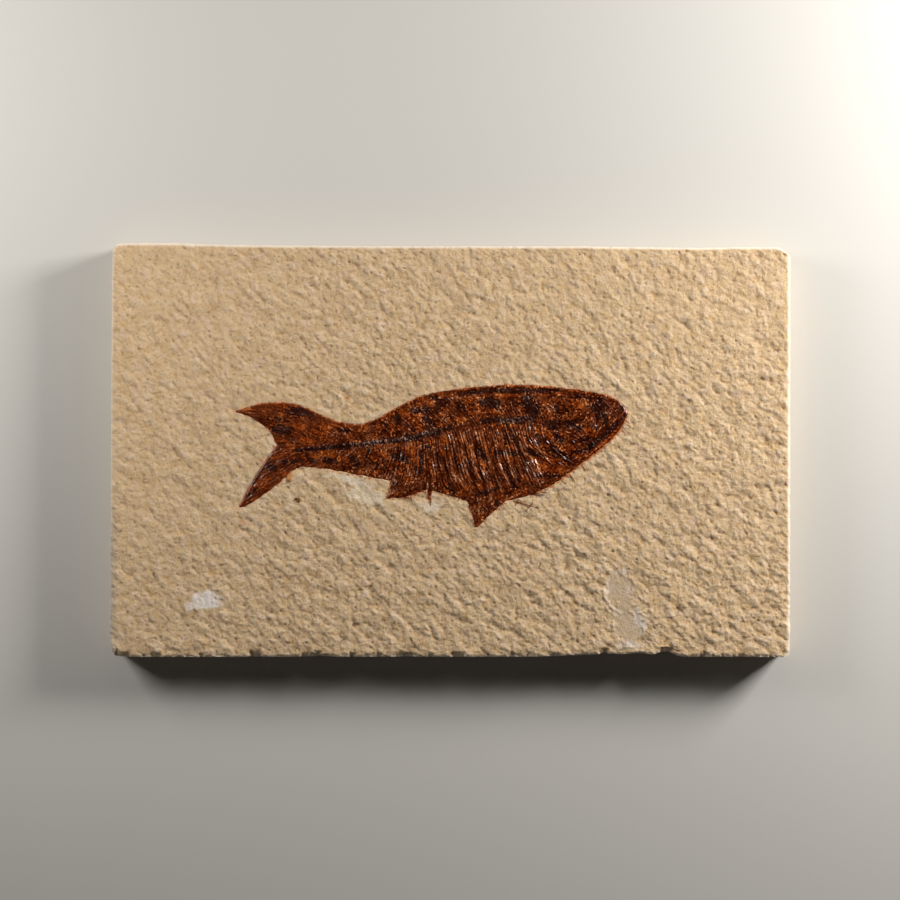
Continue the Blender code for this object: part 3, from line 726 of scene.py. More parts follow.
# %% Slivers of bone
# The sharp ones that glint in the photograph, in its pixels: (x0, y0, x1, y1, height in mm)
SLIVERS = [
    (602.8, 399.4, 611, 407.2, 0.22), (605.3, 406.7, 605.6, 414.4, 0.16),
    (622.8, 412.2, 622.2, 416.7, 0.16), (621.6, 416, 624.4, 418.8, 0.16), (552.8, 447.2, 558.3, 451.1, 0.2),
    (560, 453.5, 564, 457, 0.2), (567.5, 459.5, 571.5, 462, 0.14), (525.5, 463.3, 531, 473, 0.18),
    (527.9, 463, 533.6, 473.6, 0.2), (530.2, 464, 537.8, 485.5, 0.22), (525.4, 468, 533, 481.5, 0.16),
    (510.5, 401, 513, 410, 0.16), (517, 408, 520, 412.5, 0.14), (526.7, 414, 528.2, 418, 0.16),
    (528.6, 423, 530.4, 435.7, 0.22), (530.4, 435.7, 535.7, 446.4, 0.22), (512, 429, 515.5, 435.5, 0.18),
    (519.5, 444, 521.6, 451, 0.18), (496, 429, 502, 450, 0.18), (464, 431, 469, 450, 0.16),
    (498, 463, 501.5, 469.5, 0.18), (512.5, 467.5, 516.5, 476.5, 0.18), (495.5, 474.5, 499.5, 486, 0.16),
    (505, 471, 509, 482, 0.14), (482, 432, 486, 446, 0.14), (505.5, 427, 509, 438, 0.12),
    (480, 466, 486, 482, 0.12), (471, 458, 476, 474, 0.12), (535.6, 401, 537.4, 404, 0.14),
    (564, 433.5, 569.5, 438, 0.14), (580, 426.5, 583, 429, 0.16), (269.5, 417, 271.5, 421, 0.16),
    (283, 434, 283.6, 438.5, 0.14), (293.5, 441.5, 295.3, 445, 0.14), (303.6, 449.5, 305.2, 453, 0.14),
    (288, 459.5, 290, 463.5, 0.14), (545.6, 405, 547.4, 409, 0.12), (586, 445, 588, 448, 0.14),
    (452, 434, 455, 446, 0.12), (350.9, 442.8, 352.5, 446, 0.36), (357.5, 442.8, 359.1, 446, 0.34),
    (363.6, 442.8, 365.2, 446, 0.36), (376, 440.2, 378.6, 444.4, 0.42), (383.8, 439, 386.2, 443.2, 0.42),
    (400.2, 437.6, 401.8, 441.4, 0.36), (354.2, 448, 355.8, 450.8, 0.2), (379.8, 448, 381.4, 450.8, 0.2),
    (441, 429.2, 443.2, 433, 0.36),
]
glints = np.zeros(CX.shape)
for x0, y0, x1, y1, sliver_height in SLIVERS:
    half_width = 0.145 + 0.22 * min(sliver_height, 0.24)
    line = np.linspace(at_pixel(x0, y0), at_pixel(x1, y1), 5)
    add_ridge(glints, line, half_width, 0.30 * half_width, 0.25 * half_width)
    # Along each sliver a painted highlight as well
    add_ridge(highlight_stripes, line, half_width, 0.5, 0.5)
bones += glints
# The sharp slivers stay clean of most of the fibres that roughen the rest
roughened = 1 - 0.6 * np.clip(glints / 0.04, 0, 1)
print("slivers:", len(SLIVERS))

# %% [markdown]
# ## The fish's surface
#
# The body was pressed flat, so its flank is only a low cushion that rises from the rim. The bones
# stand on it, the eye is a hollow, and a groove runs just inside the back, where the bases of the
# back's little spines lie. Crushed bone is never smooth between the ribs either: fibres and small
# broken-out pits go over everything.

# %% Height of the fish's surface above the stone's face
RIM_HEIGHT, FLANK_HEIGHT, FLANK_REACH = 0.16, 0.52, 5.5
RIM_FOOT, RIM_WIDTH = -0.22, 0.42
SOCKET_DEPTH, GROOVE_DEPTH, PIT_DEPTH, CRACK_DEPTH, GAP_DEPTH = 0.26, 0.12, 0.07, 0.06, 0.08
SOCKET_LEAN = math.radians(8)

flank = RIM_HEIGHT + (FLANK_HEIGHT - RIM_HEIGHT) * smooth_step(inset / FLANK_REACH)
rise = smooth_step((inset + 0.05) / RIM_WIDTH)
surface = RIM_FOOT + (flank - RIM_FOOT) * rise

eye = on_slab([EYE])[0]
s, c = math.sin(SOCKET_LEAN), math.cos(SOCKET_LEAN)
along_eye = (CX - eye[0]) * s + (CY - eye[1]) * c
across_eye = (CX - eye[0]) * c - (CY - eye[1]) * s
from_eye = np.hypot(across_eye / EYE_HALF[0], along_eye / EYE_HALF[1])
socket = 1 - smooth_step((from_eye - 0.55) / 0.45)

# %% The groove inside the back
BACK_GROOVE = [(56.0, 1.6), (47.5, 4.4), (37.6, 5.9), (25.0, 6.2), (13.3, 5.0), (7.2, 3.6)]
back_line = smooth_curve(on_slab(BACK_GROOVE), 0.4)
part, away, share = near(back_line, 0.7)
back_groove = np.zeros(CX.shape)
back_groove[part] = 1 - smooth_step(away / 0.45)

for name, mask in (("eye socket", socket), ("groove", back_groove)):
    print(name, "covers", round((mask > 0.5).sum() * CHART_STEP**2, 1), "mm2")

# %% Cracks, pits, lumps and fibres over everything
cracks = np.abs(chart_noise((1, 1.15, 65), (0.45, 0.5, 66)))
cracks = (1 - smooth_step(cracks / 0.17)) * (0.5 + 0.5 * in_head)
pits = smooth_step(1 - to_nearest_point(CX, CY, 1.1, 61) / 0.32) * (soft_noise(CX, CY, 4.0, 62) > -0.1)
lumps = chart_noise((0.5, 1.9, 63), (0.5, 0.9, 64))
bone_share = smooth_step((inset - 0.1) / 0.8)
# The fibres go over the rim as well, and break up the line of light on it
fibre_share = roughened * smooth_step((inset + 0.05) / 0.25)
surface += bone_share * (
    bones * (1 - 0.8 * socket)
    - SOCKET_DEPTH * socket
    - GROOVE_DEPTH * back_groove
    - PIT_DEPTH * pits
    - CRACK_DEPTH * cracks
    - GAP_DEPTH * shaded_gaps
    + (0.045 + 0.07 * in_head) * lumps
)
surface += fibre_share * (
    (0.010 + 0.014 * in_head) * (0.5 * crumbs + 0.7 * strokes)
    + 0.026 * np.clip(bundles, -2.5, 2.5)
    + 0.024 * np.clip(long_fibres, -2.5, 2.5)
    + 0.010 * np.clip(threads, -2.5, 2.5)
)
print("fish surface from", surface[inside].min().round(2), "to", surface[inside].max().round(2), "mm")

# %% [markdown]
# ## Burnt patches and rust
#
# The bone isn't one brown. It is black where it is thick and rich in carbon: along the backbone, in
# the roots of the tail, behind the head and between many ribs. It is orange where iron has
# stained it. The big patches are given one by one as strokes, read off the photograph, and a noise
# pushes their edges about. The small ones follow the fibres.

# %% Dark and orange strokes
# In pixels of the photograph: (x0, y0, x1, y1, half width in mm, strength)
DARK_STROKES = [
    # The backbone and the roots of the tail
    (298, 450, 332, 447.4, 0.46, 1), (332, 447, 360, 445, 0.46, 1), (360, 445, 377, 442.6, 0.5, 1),
    (377, 442.4, 404, 439, 0.6, 1), (406, 438, 420, 436, 0.95, 1), (428, 433, 438, 432, 0.9, 1),
    (438, 431, 450, 428, 0.45, 0.9), (484, 421, 500, 419, 0.7, 0.9), (505, 421, 530, 419, 0.6, 0.9),
    (291, 411, 312, 413, 1.1, 0.9), (275, 418, 288, 420, 0.5, 0.7), (275, 429, 289, 431, 0.85, 1),
    (264, 463, 273, 468, 0.8, 0.9), (244, 495, 263, 466, 0.35, 0.9), (248, 500, 256, 488, 0.5, 0.7),
    (284, 462, 300, 461, 0.6, 0.8), (307, 454, 308, 458, 0.55, 0.8), (310, 460, 316, 461, 0.55, 0.8),
    (240, 498, 244, 505, 0.5, 0.7), (310, 409.4, 326.7, 418.3, 0.22, 0.9),
    (326.7, 418.3, 343.3, 421.7, 0.22, 0.9), (343.3, 421.7, 363.3, 422.8, 0.22, 0.8),
    # The narrow part before the tail
    (326, 460, 335, 461, 0.7, 0.9), (352, 457, 356, 464, 0.75, 0.9), (338, 429, 346, 430, 0.55, 0.8),
    (340, 436, 348, 432, 0.5, 0.5), (318, 428, 324, 433, 0.55, 0.5), (371, 462, 386, 470, 1.2, 0.6),
    (372, 448, 366, 456, 0.55, 0.6), (385, 424, 386, 428, 0.65, 0.8), (394, 456, 404, 459, 1, 0.9),
    # The back, above the backbone
    (397, 416, 398, 421, 0.7, 0.9), (413, 410, 430, 411, 0.7, 0.9), (425, 417, 430, 424, 0.8, 0.9),
    (408, 425, 416, 431, 0.7, 0.6), (438, 403, 444, 406, 0.8, 0.8), (445, 412, 452, 418, 0.7, 0.6),
    (460, 405, 463, 409, 0.9, 0.8), (470, 405, 476, 409, 0.6, 0.5), (484, 402, 496, 404, 1.15, 1),
    (460, 394.4, 493, 390.5, 0.4, 0.9), (493, 390.5, 526, 391, 0.55, 1), (526, 391, 560, 390, 0.5, 1),
    (431, 397, 450, 400, 0.45, 0.8), (527, 401, 535, 410, 1.5, 1), (533, 414, 533, 419, 1, 0.9),
    (549, 424, 555, 427, 0.9, 0.9), (557, 407, 558, 412, 0.8, 0.8), (513, 421, 523, 423, 0.5, 0.8),
    # The flank
    (422, 451, 421, 473, 0.4, 1), (425, 445, 430, 447, 0.7, 0.8), (438, 455, 440, 466, 0.55, 0.8),
    (455, 452, 457, 465, 0.5, 0.8), (466, 460, 470, 474, 0.45, 0.7), (480, 451, 483, 457, 0.9, 0.9),
    (497, 452, 522, 454, 0.55, 0.9), (506, 428, 507, 438, 0.5, 0.8), (515.5, 431, 515.5, 442, 0.5, 0.9),
    (507, 439, 509, 443, 0.6, 0.8), (508, 467, 510, 478, 0.5, 0.8), (518, 477, 520, 483, 0.5, 0.8),
    (486, 469, 489, 480, 0.45, 0.8), (450, 486, 454, 492, 0.7, 0.8), (479, 494, 499, 487, 0.5, 0.9),
    (498, 502, 497, 508, 0.8, 0.8), (512, 482, 516, 488, 0.7, 0.8), (440, 470, 446, 480, 0.5, 0.5),
    # The gill, the eye and the jaws
    (552, 447, 568, 459, 0.75, 1), (529, 451, 538, 454, 0.65, 1), (537, 435, 539, 441, 0.55, 0.9),
    (540, 475.6, 565, 476.7, 0.4, 0.8), (565, 476.7, 579, 464.4, 0.35, 0.8), (568, 423, 579, 428, 0.9, 1),
    (557, 436, 561, 440, 0.8, 0.9), (575, 396, 590, 398, 0.4, 0.8), (598, 399, 606, 405, 0.6, 0.9),
    (597, 407, 600, 415, 1.3, 0.9), (605, 409, 606, 425, 0.4, 0.9), (621, 409, 626, 418, 0.4, 0.9),
    (618, 421, 611, 429, 0.5, 1), (611, 429, 602, 438, 0.6, 1), (602, 438, 592, 445.5, 0.65, 1),
    (592, 445.5, 584, 451, 0.6, 1), (584, 451, 573, 452, 0.5, 0.9), (575, 389, 596, 392.5, 0.26, 0.9),
    (596, 392.5, 613, 398.5, 0.26, 0.9), (613, 398.5, 628, 411, 0.28, 0.9), (581, 441, 589, 438, 0.6, 0.8),
]
RUST_STROKES = [
    (586, 430, 594, 434, 0.75, 1), (543, 468, 561, 470, 0.9, 1), (548, 461, 562, 462, 0.8, 0.9),
    (572, 454, 583, 453, 0.75, 1), (562, 447, 572, 449, 0.75, 1), (538, 447, 554, 445, 0.4, 0.9),
    (543, 432, 551, 436, 0.7, 0.7), (538, 421, 545, 428, 0.8, 0.8), (540, 408, 550, 416, 1.2, 0.6),
    (520, 400, 521, 414, 0.5, 0.7), (503, 426, 506, 432, 0.6, 0.8), (499, 438, 501, 447, 0.6, 0.8),
    (507, 444, 511, 447, 0.6, 0.8), (507, 458, 512, 460, 0.6, 0.8), (494, 424, 497, 429, 0.6, 0.7),
    (612, 413, 618, 420, 0.9, 0.5), (619, 428, 583, 462, 0.4, 0.8), (573, 402, 581, 406, 0.8, 0.9),
    (589, 417, 591, 419, 0.5, 0.8), (562, 414, 571, 418, 0.75, 0.9), (565, 435, 570, 438, 0.5, 0.6),
    (382, 452, 391, 458, 0.8, 0.7), (407, 449, 415, 449, 0.6, 0.9), (412, 453, 418, 462, 0.95, 0.9),
    (398, 464, 407, 466, 0.65, 0.8), (399, 411, 405, 413, 0.7, 0.8), (408, 415, 423, 417, 0.65, 0.9),
    (420, 399, 428, 399, 0.5, 0.7), (428, 439, 432, 446, 0.55, 0.7), (379, 420, 392, 413, 0.8, 0.6),
    (468, 399, 486, 397, 0.45, 0.7), (448, 432, 447, 444, 0.35, 0.8), (464, 432, 466, 444, 0.35, 0.7),
    (478, 428, 484, 446, 0.35, 0.6), (460, 485, 466, 489, 0.6, 0.8), (469, 410, 475, 412, 0.8, 0.8),
    (489, 410, 495, 411, 0.7, 0.8), (303, 440, 313, 441, 0.8, 0.9), (289, 446, 293, 450, 0.8, 0.9),
    (295, 425, 303, 427, 0.7, 0.8), (272, 439, 284, 440, 0.7, 0.8), (302, 455, 307, 457, 0.6, 0.8),
    (311, 455, 318, 457, 0.6, 0.8), (323, 453, 334, 455, 0.7, 0.9), (336, 457, 348, 460, 0.65, 0.7),
    (258, 487, 265, 481, 0.75, 0.9), (274, 469, 282, 470, 0.6, 0.7), (233, 411, 243, 411, 0.5, 1),
    (430, 402, 446, 404, 0.5, 0.7), (496.7, 396.7, 522, 394.5, 0.35, 1), (556, 400, 566, 404, 0.7, 0.6),
    (362, 452, 374, 458, 0.6, 0.6), (430, 470, 436, 480, 0.5, 0.6), (516, 490, 520, 492, 0.6, 0.8),
    (330, 425, 348, 427, 0.6, 0.6), (356, 432, 366, 428, 0.7, 0.5),
]


# %% Draw the strokes
def draw_strokes(strokes, seed):
    """A chart of strokes: 1 in the middle, falling to 0 at twice the half width, with uneven width."""
    drawn = np.zeros(CX.shape)
    uneven = 1 + chart_noise((0.55, 1.1, seed), (0.35, 0.5, seed + 1))
    for x0, y0, x1, y1, half_width, strength in strokes:
        part, away, _ = near([at_pixel(x0, y0), at_pixel(x1, y1)], 3.4 * half_width + 0.3)
        fall = 1 - away / (2 * half_width * np.clip(uneven[part], 0.3, 1.7))
        drawn[part] = np.maximum(drawn[part], strength * np.clip(1.25 * fall, 0, 1))
    return drawn


char = draw_strokes(DARK_STROKES, 71)
rust = draw_strokes(RUST_STROKES, 75)
small_char = 0.04 + mixed_noise(bent_x, bent_y, (0.45, 1.3, 79), (0.40, 0.65, 80), (0.55, 2.6, 78))
small_rust = 0.24 + mixed_noise(bent_x, bent_y, (0.7, 1.6, 81), (0.35, 0.75, 82))
small_rust += chart_noise((0.5, 3.2, 87))
rim_strip = 1 - smooth_step((inset - 0.30 - chart_noise((0.15, 1.2, 83))) / 0.35)

# %% Fibrous and crushed bone
# Along the ribs and in the tail the bone is fibrous, elsewhere it is crushed
rib_middle = at_pixel(487, 462)
over_ribs = smooth_step(1.5 - np.hypot((CX - rib_middle[0]) / 13.5, (CY - rib_middle[1]) / 8.0))
in_tail = 1 - smooth_step((CX - at_pixel(300, 0)[0]) / 14.5)
fibrous = np.clip(0.25 + 0.55 * over_ribs + 0.45 * in_tail - 0.25 * in_head, 0, 1)
fibres = 0.5 * bundles + 0.5 * long_fibres + 0.45 * threads
fibres /= fibres[inside].std()
crushed = 0.8 * crumbs + 0.8 * strokes
busy = 0.55 + 0.65 * np.clip(0.5 + chart_noise((1.2, 2.6, 91), (0.6, 1.2, 92)), 0, 1)

# The strokes are soft. Fibres and crumbs are added before they are cut off, which frays their edges
frayed = 0.08 * fibrous * fibres + 0.10 * crushed + 0.06 * fibrous * swathes
char = np.maximum(char, small_char * (1 - 0.3 * in_tail)) + 0.4 * column_shadow
# The painted highlights keep the bones clear of black
char = smooth_step((char - frayed - 0.35 * highlight_stripes - 0.5 * rim_strip - 0.30) / 0.45)
rust = np.maximum(np.maximum(rust, small_rust), 0.62 * rim_strip) + frayed
rust = smooth_step((rust - 0.38) / 0.35) * (1 - 0.6 * char)

# %% How pale the brown is
# It is made of patches, fibres, crumbs and strokes, the ribs and other bones with a painted highlight
# along them and painted shade in the gaps beside them, cracks, and little pale flecks of painted glint
TONE_MIDDLE, TONE_SPREAD = 0.505, 0.195

clouds = mixed_noise(bent_x, bent_y, (0.6, 1.5, 84)) + chart_noise((0.8, 2.8, 85), (0.5, 4.5, 88))
glint_flecks = smooth_step((0.5 * strokes + 0.5 * crumbs - 0.9) / 0.7)
tone = (0.9 - 0.15 * over_ribs) * fibrous * fibres + (1 - 0.6 * fibrous) * busy * crushed
tone += 0.5 * (1 - 0.6 * over_ribs) * clouds / clouds.std() + 0.75 * over_ribs * swathes
tone = TONE_MIDDLE + TONE_SPREAD * (1 - 0.4 * in_tail) * tone / tone[inside].std() - 0.05 * in_head
tone += 0.36 * highlight_stripes - 0.34 * shaded_gaps - 0.12 * cracks + 0.14 * glint_flecks * (1 - 0.6 * in_tail)
tone = np.clip(tone, 0, 1)
for colour, chart in (("black", char), ("orange", rust)):
    print("share of the fish that is", colour + ":", (chart[inside] > 0.5).mean().round(2))
print("tone: mean", tone[inside].mean().round(2), "spread", tone[inside].std().round(2))

# %% [markdown]
# ## From chart to fish
#
# The mesh is a *Delaunay* net: a honeycomb of points inside the edge, the edge itself as a closed
# constraint, and triangles between. A plain grid would give a stepped edge, and the edge is what the
# eye follows. The height comes from the chart at each point, and so do three numbers that the
# finish will read: how pale, how black and how orange the bone is there.

# %% Pieces and nets
def new_piece(name, points, faces, replaced=None, attributes=None, normals=None):
    """A mesh object from points in millimetres, with named numbers on its points."""
    mesh = bpy.data.meshes.new(name)
    mesh.from_pydata((np.asarray(points, float) * MM).tolist(), [], faces)
    for label, values in (attributes or {}).items():
        layer = mesh.attributes.new(label, "FLOAT", "POINT")
        layer.data.foreach_set("value", np.asarray(values, np.float32))
    mesh.validate()
    mesh.shade_smooth()
    if normals is not None:
        mesh.normals_split_custom_set_from_vertices(np.asarray(normals, float).tolist())
    piece = bpy.data.objects.new(name, mesh)
    bpy.context.scene.collection.objects.link(piece)
    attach(piece, "root")
    if replaced:
        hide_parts(replaced)
    triangles = sum(len(f) - 2 for f in faces)
    print(f"{name}: {len(points)} points, {triangles} triangles")
    return piece


def honeycomb(low, high, step):
    """Points in rows `step` apart, every second row moved half a step, between two corners."""
    x, y = np.meshgrid(
        np.arange(low[0], high[0], step),
        np.arange(low[1], high[1], step * math.sqrt(3) / 2),
    )
    x[1::2] += step / 2
    return np.column_stack([x.ravel(), y.ravel()])


def delaunay_net(points, loop_length):
    """(points, triangles) inside a loop, which is the first of the points."""
    flat = [Vector(p) for p in points.tolist()]
    net, _, triangles, *_ = delaunay_2d_cdt(flat, [], [list(range(loop_length))], 1, 1e-6)
    return np.array([tuple(v) for v in net]), triangles


# %% A net of points inside the edge
NET_STEP = 0.150
# Free points keep clear of the edge, or they would make slivers of triangles with it
CLEAR_OF_EDGE = 0.09

free = honeycomb((chart_x[0], chart_y[0]), (chart_x[-1], chart_y[-1]), NET_STEP)
free = free[read_chart(inset, *free.T) > CLEAR_OF_EDGE]
net, net_faces = delaunay_net(np.vstack([fish_edge, free]), len(fish_edge))
print("net:", len(net), "points,", len(net_faces), "triangles")

# %% Find the net's rim
# An edge that no other triangle runs along the other way lies on the rim
net_edges = dict.fromkeys(e for a, b, c in net_faces for e in ((a, b), (b, c), (c, a)))
rim = [(a, b) for a, b in net_edges if (b, a) not in net_edges]
around = sorted({k for edge in rim for k in edge})
foot_of = {k: len(net) + n for n, k in enumerate(around)}
print("rim:", len(rim), "edges")

# %% Raise the net
# The net is coarser than the chart. Read as it is, a narrow ridge would turn into a string of beads,
# so the chart is softened first. The normals come from the softened chart too, not from the triangles
for _ in range(2):
    for axis in (0, 1):
        surface = 0.5 * surface + 0.25 * (np.roll(surface, 1, axis) + np.roll(surface, -1, axis))
slope_up, slope_across = np.gradient(surface, CHART_STEP)
slopes = [-read_chart(slope, *net.T) for slope in (slope_across, slope_up)]
leaning = np.column_stack([*slopes, np.ones(len(net))])
leaning /= np.linalg.norm(leaning, axis=1)[:, None]
tops = np.column_stack([net, FACE_Z + read_chart(surface, *net.T)])

# %% Close the net below and read the finish's numbers
# The height of the flat underside in mm, which lies hidden in the stone
FISH_FOOT = 9.2

feet = np.column_stack([net[around], np.full(len(around), FISH_FOOT)])
walls = [(b, a, foot_of[a], foot_of[b]) for a, b in rim]
ahead = dict(rim)
loop = [rim[0][0]]
while ahead[loop[-1]] != loop[0]:
    loop.append(ahead[loop[-1]])
_, under_faces = delaunay_net(net[loop], len(loop))
under_faces = [tuple(foot_of[loop[k]] for k in reversed(face)) for face in under_faces]
fish_points = np.vstack([tops, feet])
values = {}
for label, chart in (("tone", tone), ("char", char), ("rust", rust)):
    values[label] = np.concatenate([read_chart(chart, *net.T), np.full(len(around), 0.5)])
fish_faces = net_faces + walls + under_faces
fish_normals = np.vstack([leaning, np.tile((0.0, 0.0, -1.0), (len(around), 1))])
fish = new_piece(
    "fossil_bone_fish", fish_points, fish_faces, "fossil_fish", values, fish_normals
)

# %% [markdown]
# ## The slab as one skin
#
# The slab is a skin over a grid of points. The lines of the grid are close together at the border,
# where the sharp edge, the *arris*, is worn round, and a quarter of a millimetre apart over the face.
# The border itself isn't straight: it was broken and then rubbed down. The grid's outer
# lines follow it, and each corner square of the grid is bent into a quarter of a round.

# %% Lines of the grid
FACE_STEP = 0.240
ARRIS_INSETS = [0, 0.03, 0.09, 0.18, 0.30, 0.45, 0.65, 0.90]
# Where each edge lies inside the box of the slab, in mm: (place along it, distance)
TOP_EDGE_FALL = [
    (-83, 0.35), (-80, 0.05), (-78, 0), (-67, 0.05), (-61, 0.25), (-50, 0.5), (-46, 0.55), (-15, 0.78),
    (32, 0.8), (46, 1), (60, 1.2), (70, 1.05), (79, 1.05), (80.5, 1.3), (82.5, 1.6),
]
LEFT_EDGE_BACK = [
    (-50.2, 0.85), (-48.5, 0.45), (-47, 0.22), (-44, 0), (-36, 0.1), (0, 0.35), (36, 0.5), (48, 0.7),
    (50.2, 1.1),
]
RIGHT_EDGE_BACK = [(-50.2, 0.3), (-48, 0.05), (46.5, 0.0), (48.5, 0.25), (50.2, 0.7)]
BOTTOM_EDGE_RISE = [
    (-82.5, 0.3), (-79, 0), (-35.5, 0.05), (-31.5, 0.38), (-28, 0.1), (20, 0.05), (33.8, 0.6), (36.4, 0.7),
    (37.4, 1.15), (38.6, 0.75), (42, 0.62), (46, 1.05), (49.2, 0.6), (50.6, 1.1), (52.8, 1.3), (54, 0.9),
    (55.4, 0.25), (58, 0.05), (81, 0), (82.5, 0.2),
]
CORNER_RADII = {(-1, 1): 1.2, (1, 1): 2.2, (-1, -1): 0.9, (1, -1): 0.6}
# Bites out of the lower edge, in the photograph's pixels: (first x, last x, depth in mm)
BITES = [
    (115, 130, 0.8), (151, 161, 0.7), (200, 203, 0.6), (249, 263, 1.3), (300, 322, 0.9), (350, 354, 0.6),
    (377, 382, 0.6), (396, 415, 0.8), (428, 432, 0.5), (452, 466, 0.8), (600, 608, 1), (660, 673, 1.2),
    (700, 706, 0.5), (738, 744, 0.5), (508, 514, 0.4), (552, 560, 0.5),
]


# %% The slab's plan
def grid_lines(length):
    """Distances from one edge to the other, close together at both ends."""
    inner = length - 2 * ARRIS_INSETS[-1]
    middle = np.linspace(ARRIS_INSETS[-1], length - ARRIS_INSETS[-1], round(inner / FACE_STEP) + 1)
    ends = np.array(ARRIS_INSETS[:-1])
    return np.concatenate([ends, middle, length - ends[::-1]])


def edge_line(table, place, seed):
    """Distance of an edge from the slab's box: measured points, and wear between them."""
    measured = np.interp(place, *zip(*table))
    wear = mixed_noise(place, place * 0 + seed, (0.05, 2.6, seed), (0.035, 0.9, seed + 1))
    return np.maximum(measured + wear, 0)


across_lines = grid_lines(SLAB_LENGTH)
up_lines = grid_lines(SLAB_WIDTH)
FROM_LEFT, FROM_BOTTOM = np.meshgrid(across_lines, up_lines)
FROM_RIGHT, FROM_TOP = SLAB_LENGTH - FROM_LEFT, SLAB_WIDTH - FROM_BOTTOM
BORDER_REACH = 4.0


def border_pull(from_edge):
    """How much of an edge's shift a point takes: all of it on the edge, none far inside."""
    return 1 - smooth_step(from_edge / BORDER_REACH)


# %% Pull the outer lines of the grid onto the real edges
plan_x, plan_y = FROM_LEFT - SLAB_LENGTH / 2, FROM_BOTTOM - SLAB_WIDTH / 2
SX = (plan_x + border_pull(FROM_LEFT) * edge_line(LEFT_EDGE_BACK, plan_y, 91)
      - border_pull(FROM_RIGHT) * edge_line(RIGHT_EDGE_BACK, plan_y, 93))
SY = (plan_y + border_pull(FROM_BOTTOM) * edge_line(BOTTOM_EDGE_RISE, plan_x, 95)
      - border_pull(FROM_TOP) * edge_line(TOP_EDGE_FALL, plan_x, 97))
for (sx, sy), radius in CORNER_RADII.items():
    a = FROM_LEFT if sx < 0 else FROM_RIGHT
    b = FROM_BOTTOM if sy < 0 else FROM_TOP
    s, t = np.clip(1 - a / radius, 0, 1), np.clip(1 - b / radius, 0, 1)
    SX += sx * radius * (s * np.sqrt(1 - t**2 / 2) - s)
    SY += sy * radius * (t * np.sqrt(1 - s**2 / 2) - t)
print("face grid:", SX.shape, "cells about", round(float(np.diff(across_lines).max()), 3), "mm")

# %% [markdown]
# ## Pecked stone
#
# The preparer's tool knocks out one small flake after another. What is left are lumps of about two
# millimetres with finer crumbs on them, sharp little valleys between, and here and there the pit of
# a single blow. The lumps are *folded* noises, whose negative part is turned up: it makes round
# tops that meet in creases. Five sizes of plain noise go over them, down to the crumbs.


# %% Relief of the pecked face
# The strokes all fell the same way, so lumps and creases run in one direction
STROKE_LEAN = math.radians(138)
PECK_STRETCH = 1.35
PECK_LUMPS = ((0.18, 5.0, 10), (0.13, 2.6, 11), (0.08, 1.4, 12), (0.06, 0.75, 13), (0.07, 0.42, 18))


def pecked(x, y):
    """(relief in mm, painted shade with some brown film in the hollows and pits, painted highlight on the
    tops, both from 0 to 1) of the stone's face.
    """
    # The noises are bent by another noise first, or their even grid would show
    wx = x + mixed_noise(x, y, (0.26, 1.6, 5), (0.12, 0.8, 25))
    wy = y + mixed_noise(x, y, (0.26, 1.6, 6), (0.12, 0.8, 26))
    across = -wx * math.sin(STROKE_LEAN) + wy * math.cos(STROKE_LEAN)
    along = wx * math.cos(STROKE_LEAN) + wy * math.sin(STROKE_LEAN)
    a, b = across * 1.1, along / PECK_STRETCH * 1.1
    # Round tops that meet in sharp valleys: domes around scattered points, and a folded noise
    relief = -0.26 * to_nearest_point(a, b, 1.9, 31) ** 2 - 0.10 * to_nearest_point(a, b, 1.05, 32) ** 2
    relief = relief + 0.10 * np.abs(soft_noise(a, b, 2.6, 33)) + mixed_noise(a, b, *PECK_LUMPS)
    # Gouges are drawn out along the stroke: few long ones, more short ones
    gouge = smooth_step(1 - to_nearest_point(2.6 * across + 11, along + 7, 6.5, 16) / 0.085)
    nick = smooth_step(1 - to_nearest_point(2.0 * across + 31, along + 3, 3.4, 17) / 0.095)
    pit = smooth_step(1 - to_nearest_point(1.4 * across + 3, along + 17, 1.9, 19) / 0.17)
    relief = 1.12 * (relief - 0.26 * gouge - 0.16 * nick - 0.10 * pit)
    # Painted shade for the hollows and a painted highlight for the tops: how far each place lies below or
    # above the smoothed relief around it
    around = relief
    for _ in range(12):
        around = (around + np.roll(around, 1, 0) + np.roll(around, -1, 0)) / 3
        around = (around + np.roll(around, 1, 1) + np.roll(around, -1, 1)) / 3
    hollow_shade = smooth_step((around - relief) / 0.22)
    crest_highlight = smooth_step((relief - around) / 0.22)
    return relief, np.clip(0.6 * hollow_shade + 0.9 * gouge + 0.9 * nick + 0.6 * pit, 0, 1), crest_highlight


relief, crevice_film_and_shade, crest_highlight = pecked(SX, SY)
print("pecked relief:", relief.min().round(2), "to", relief.max().round(2), "mm")

# %% [markdown]
# ## Places on the stone that differ
#
# The stone close to the fish was cleaned with finer strokes, so it is smoother and paler there. The
# slab's left part is rubbed flatter than the rest. Below the head a flake has come off: a flat
# scar with a rim like a crescent moon. At the lower left some rock is crushed to white powder.
# Each is a mask from 0 to 1 that the relief and the finish both use.


# %% Masks on the stone
def spot(px, py, half_x, half_y, turn=0, blur=0.5, seed=101, uneven=0.35):
    """A patch at a pixel of the photograph, with half sizes in mm, a turn in degrees and a worn edge."""
    cx, cy = at_pixel(px, py)
    c, s = math.cos(math.radians(turn)), math.sin(math.radians(turn))
    a = ((SX - cx) * c + (SY - cy) * s) / half_x
    b = ((SY - cy) * c - (SX - cx) * s) / half_y
    near_it = np.hypot(a, b) < 2.5
    mask = np.zeros(SX.shape)
    x, y = SX[near_it], SY[near_it]
    worn = uneven * mixed_noise(x, y, (1, 1.6, seed), (0.6, 0.7, seed + 1))
    mask[near_it] = smooth_step((1 - np.hypot(a, b)[near_it] + worn) / blur)
    return mask


def patches(table, blur=0.5, uneven=0.35):
    """The strongest of several patches: (x, y, half x, half y, turn, strength, seed)."""
    mask = np.zeros(SX.shape)
    for px, py, half_x, half_y, turn, strength, seed in table:
        mask = np.maximum(mask, strength * spot(px, py, half_x, half_y, turn, blur, seed, uneven))
    return mask


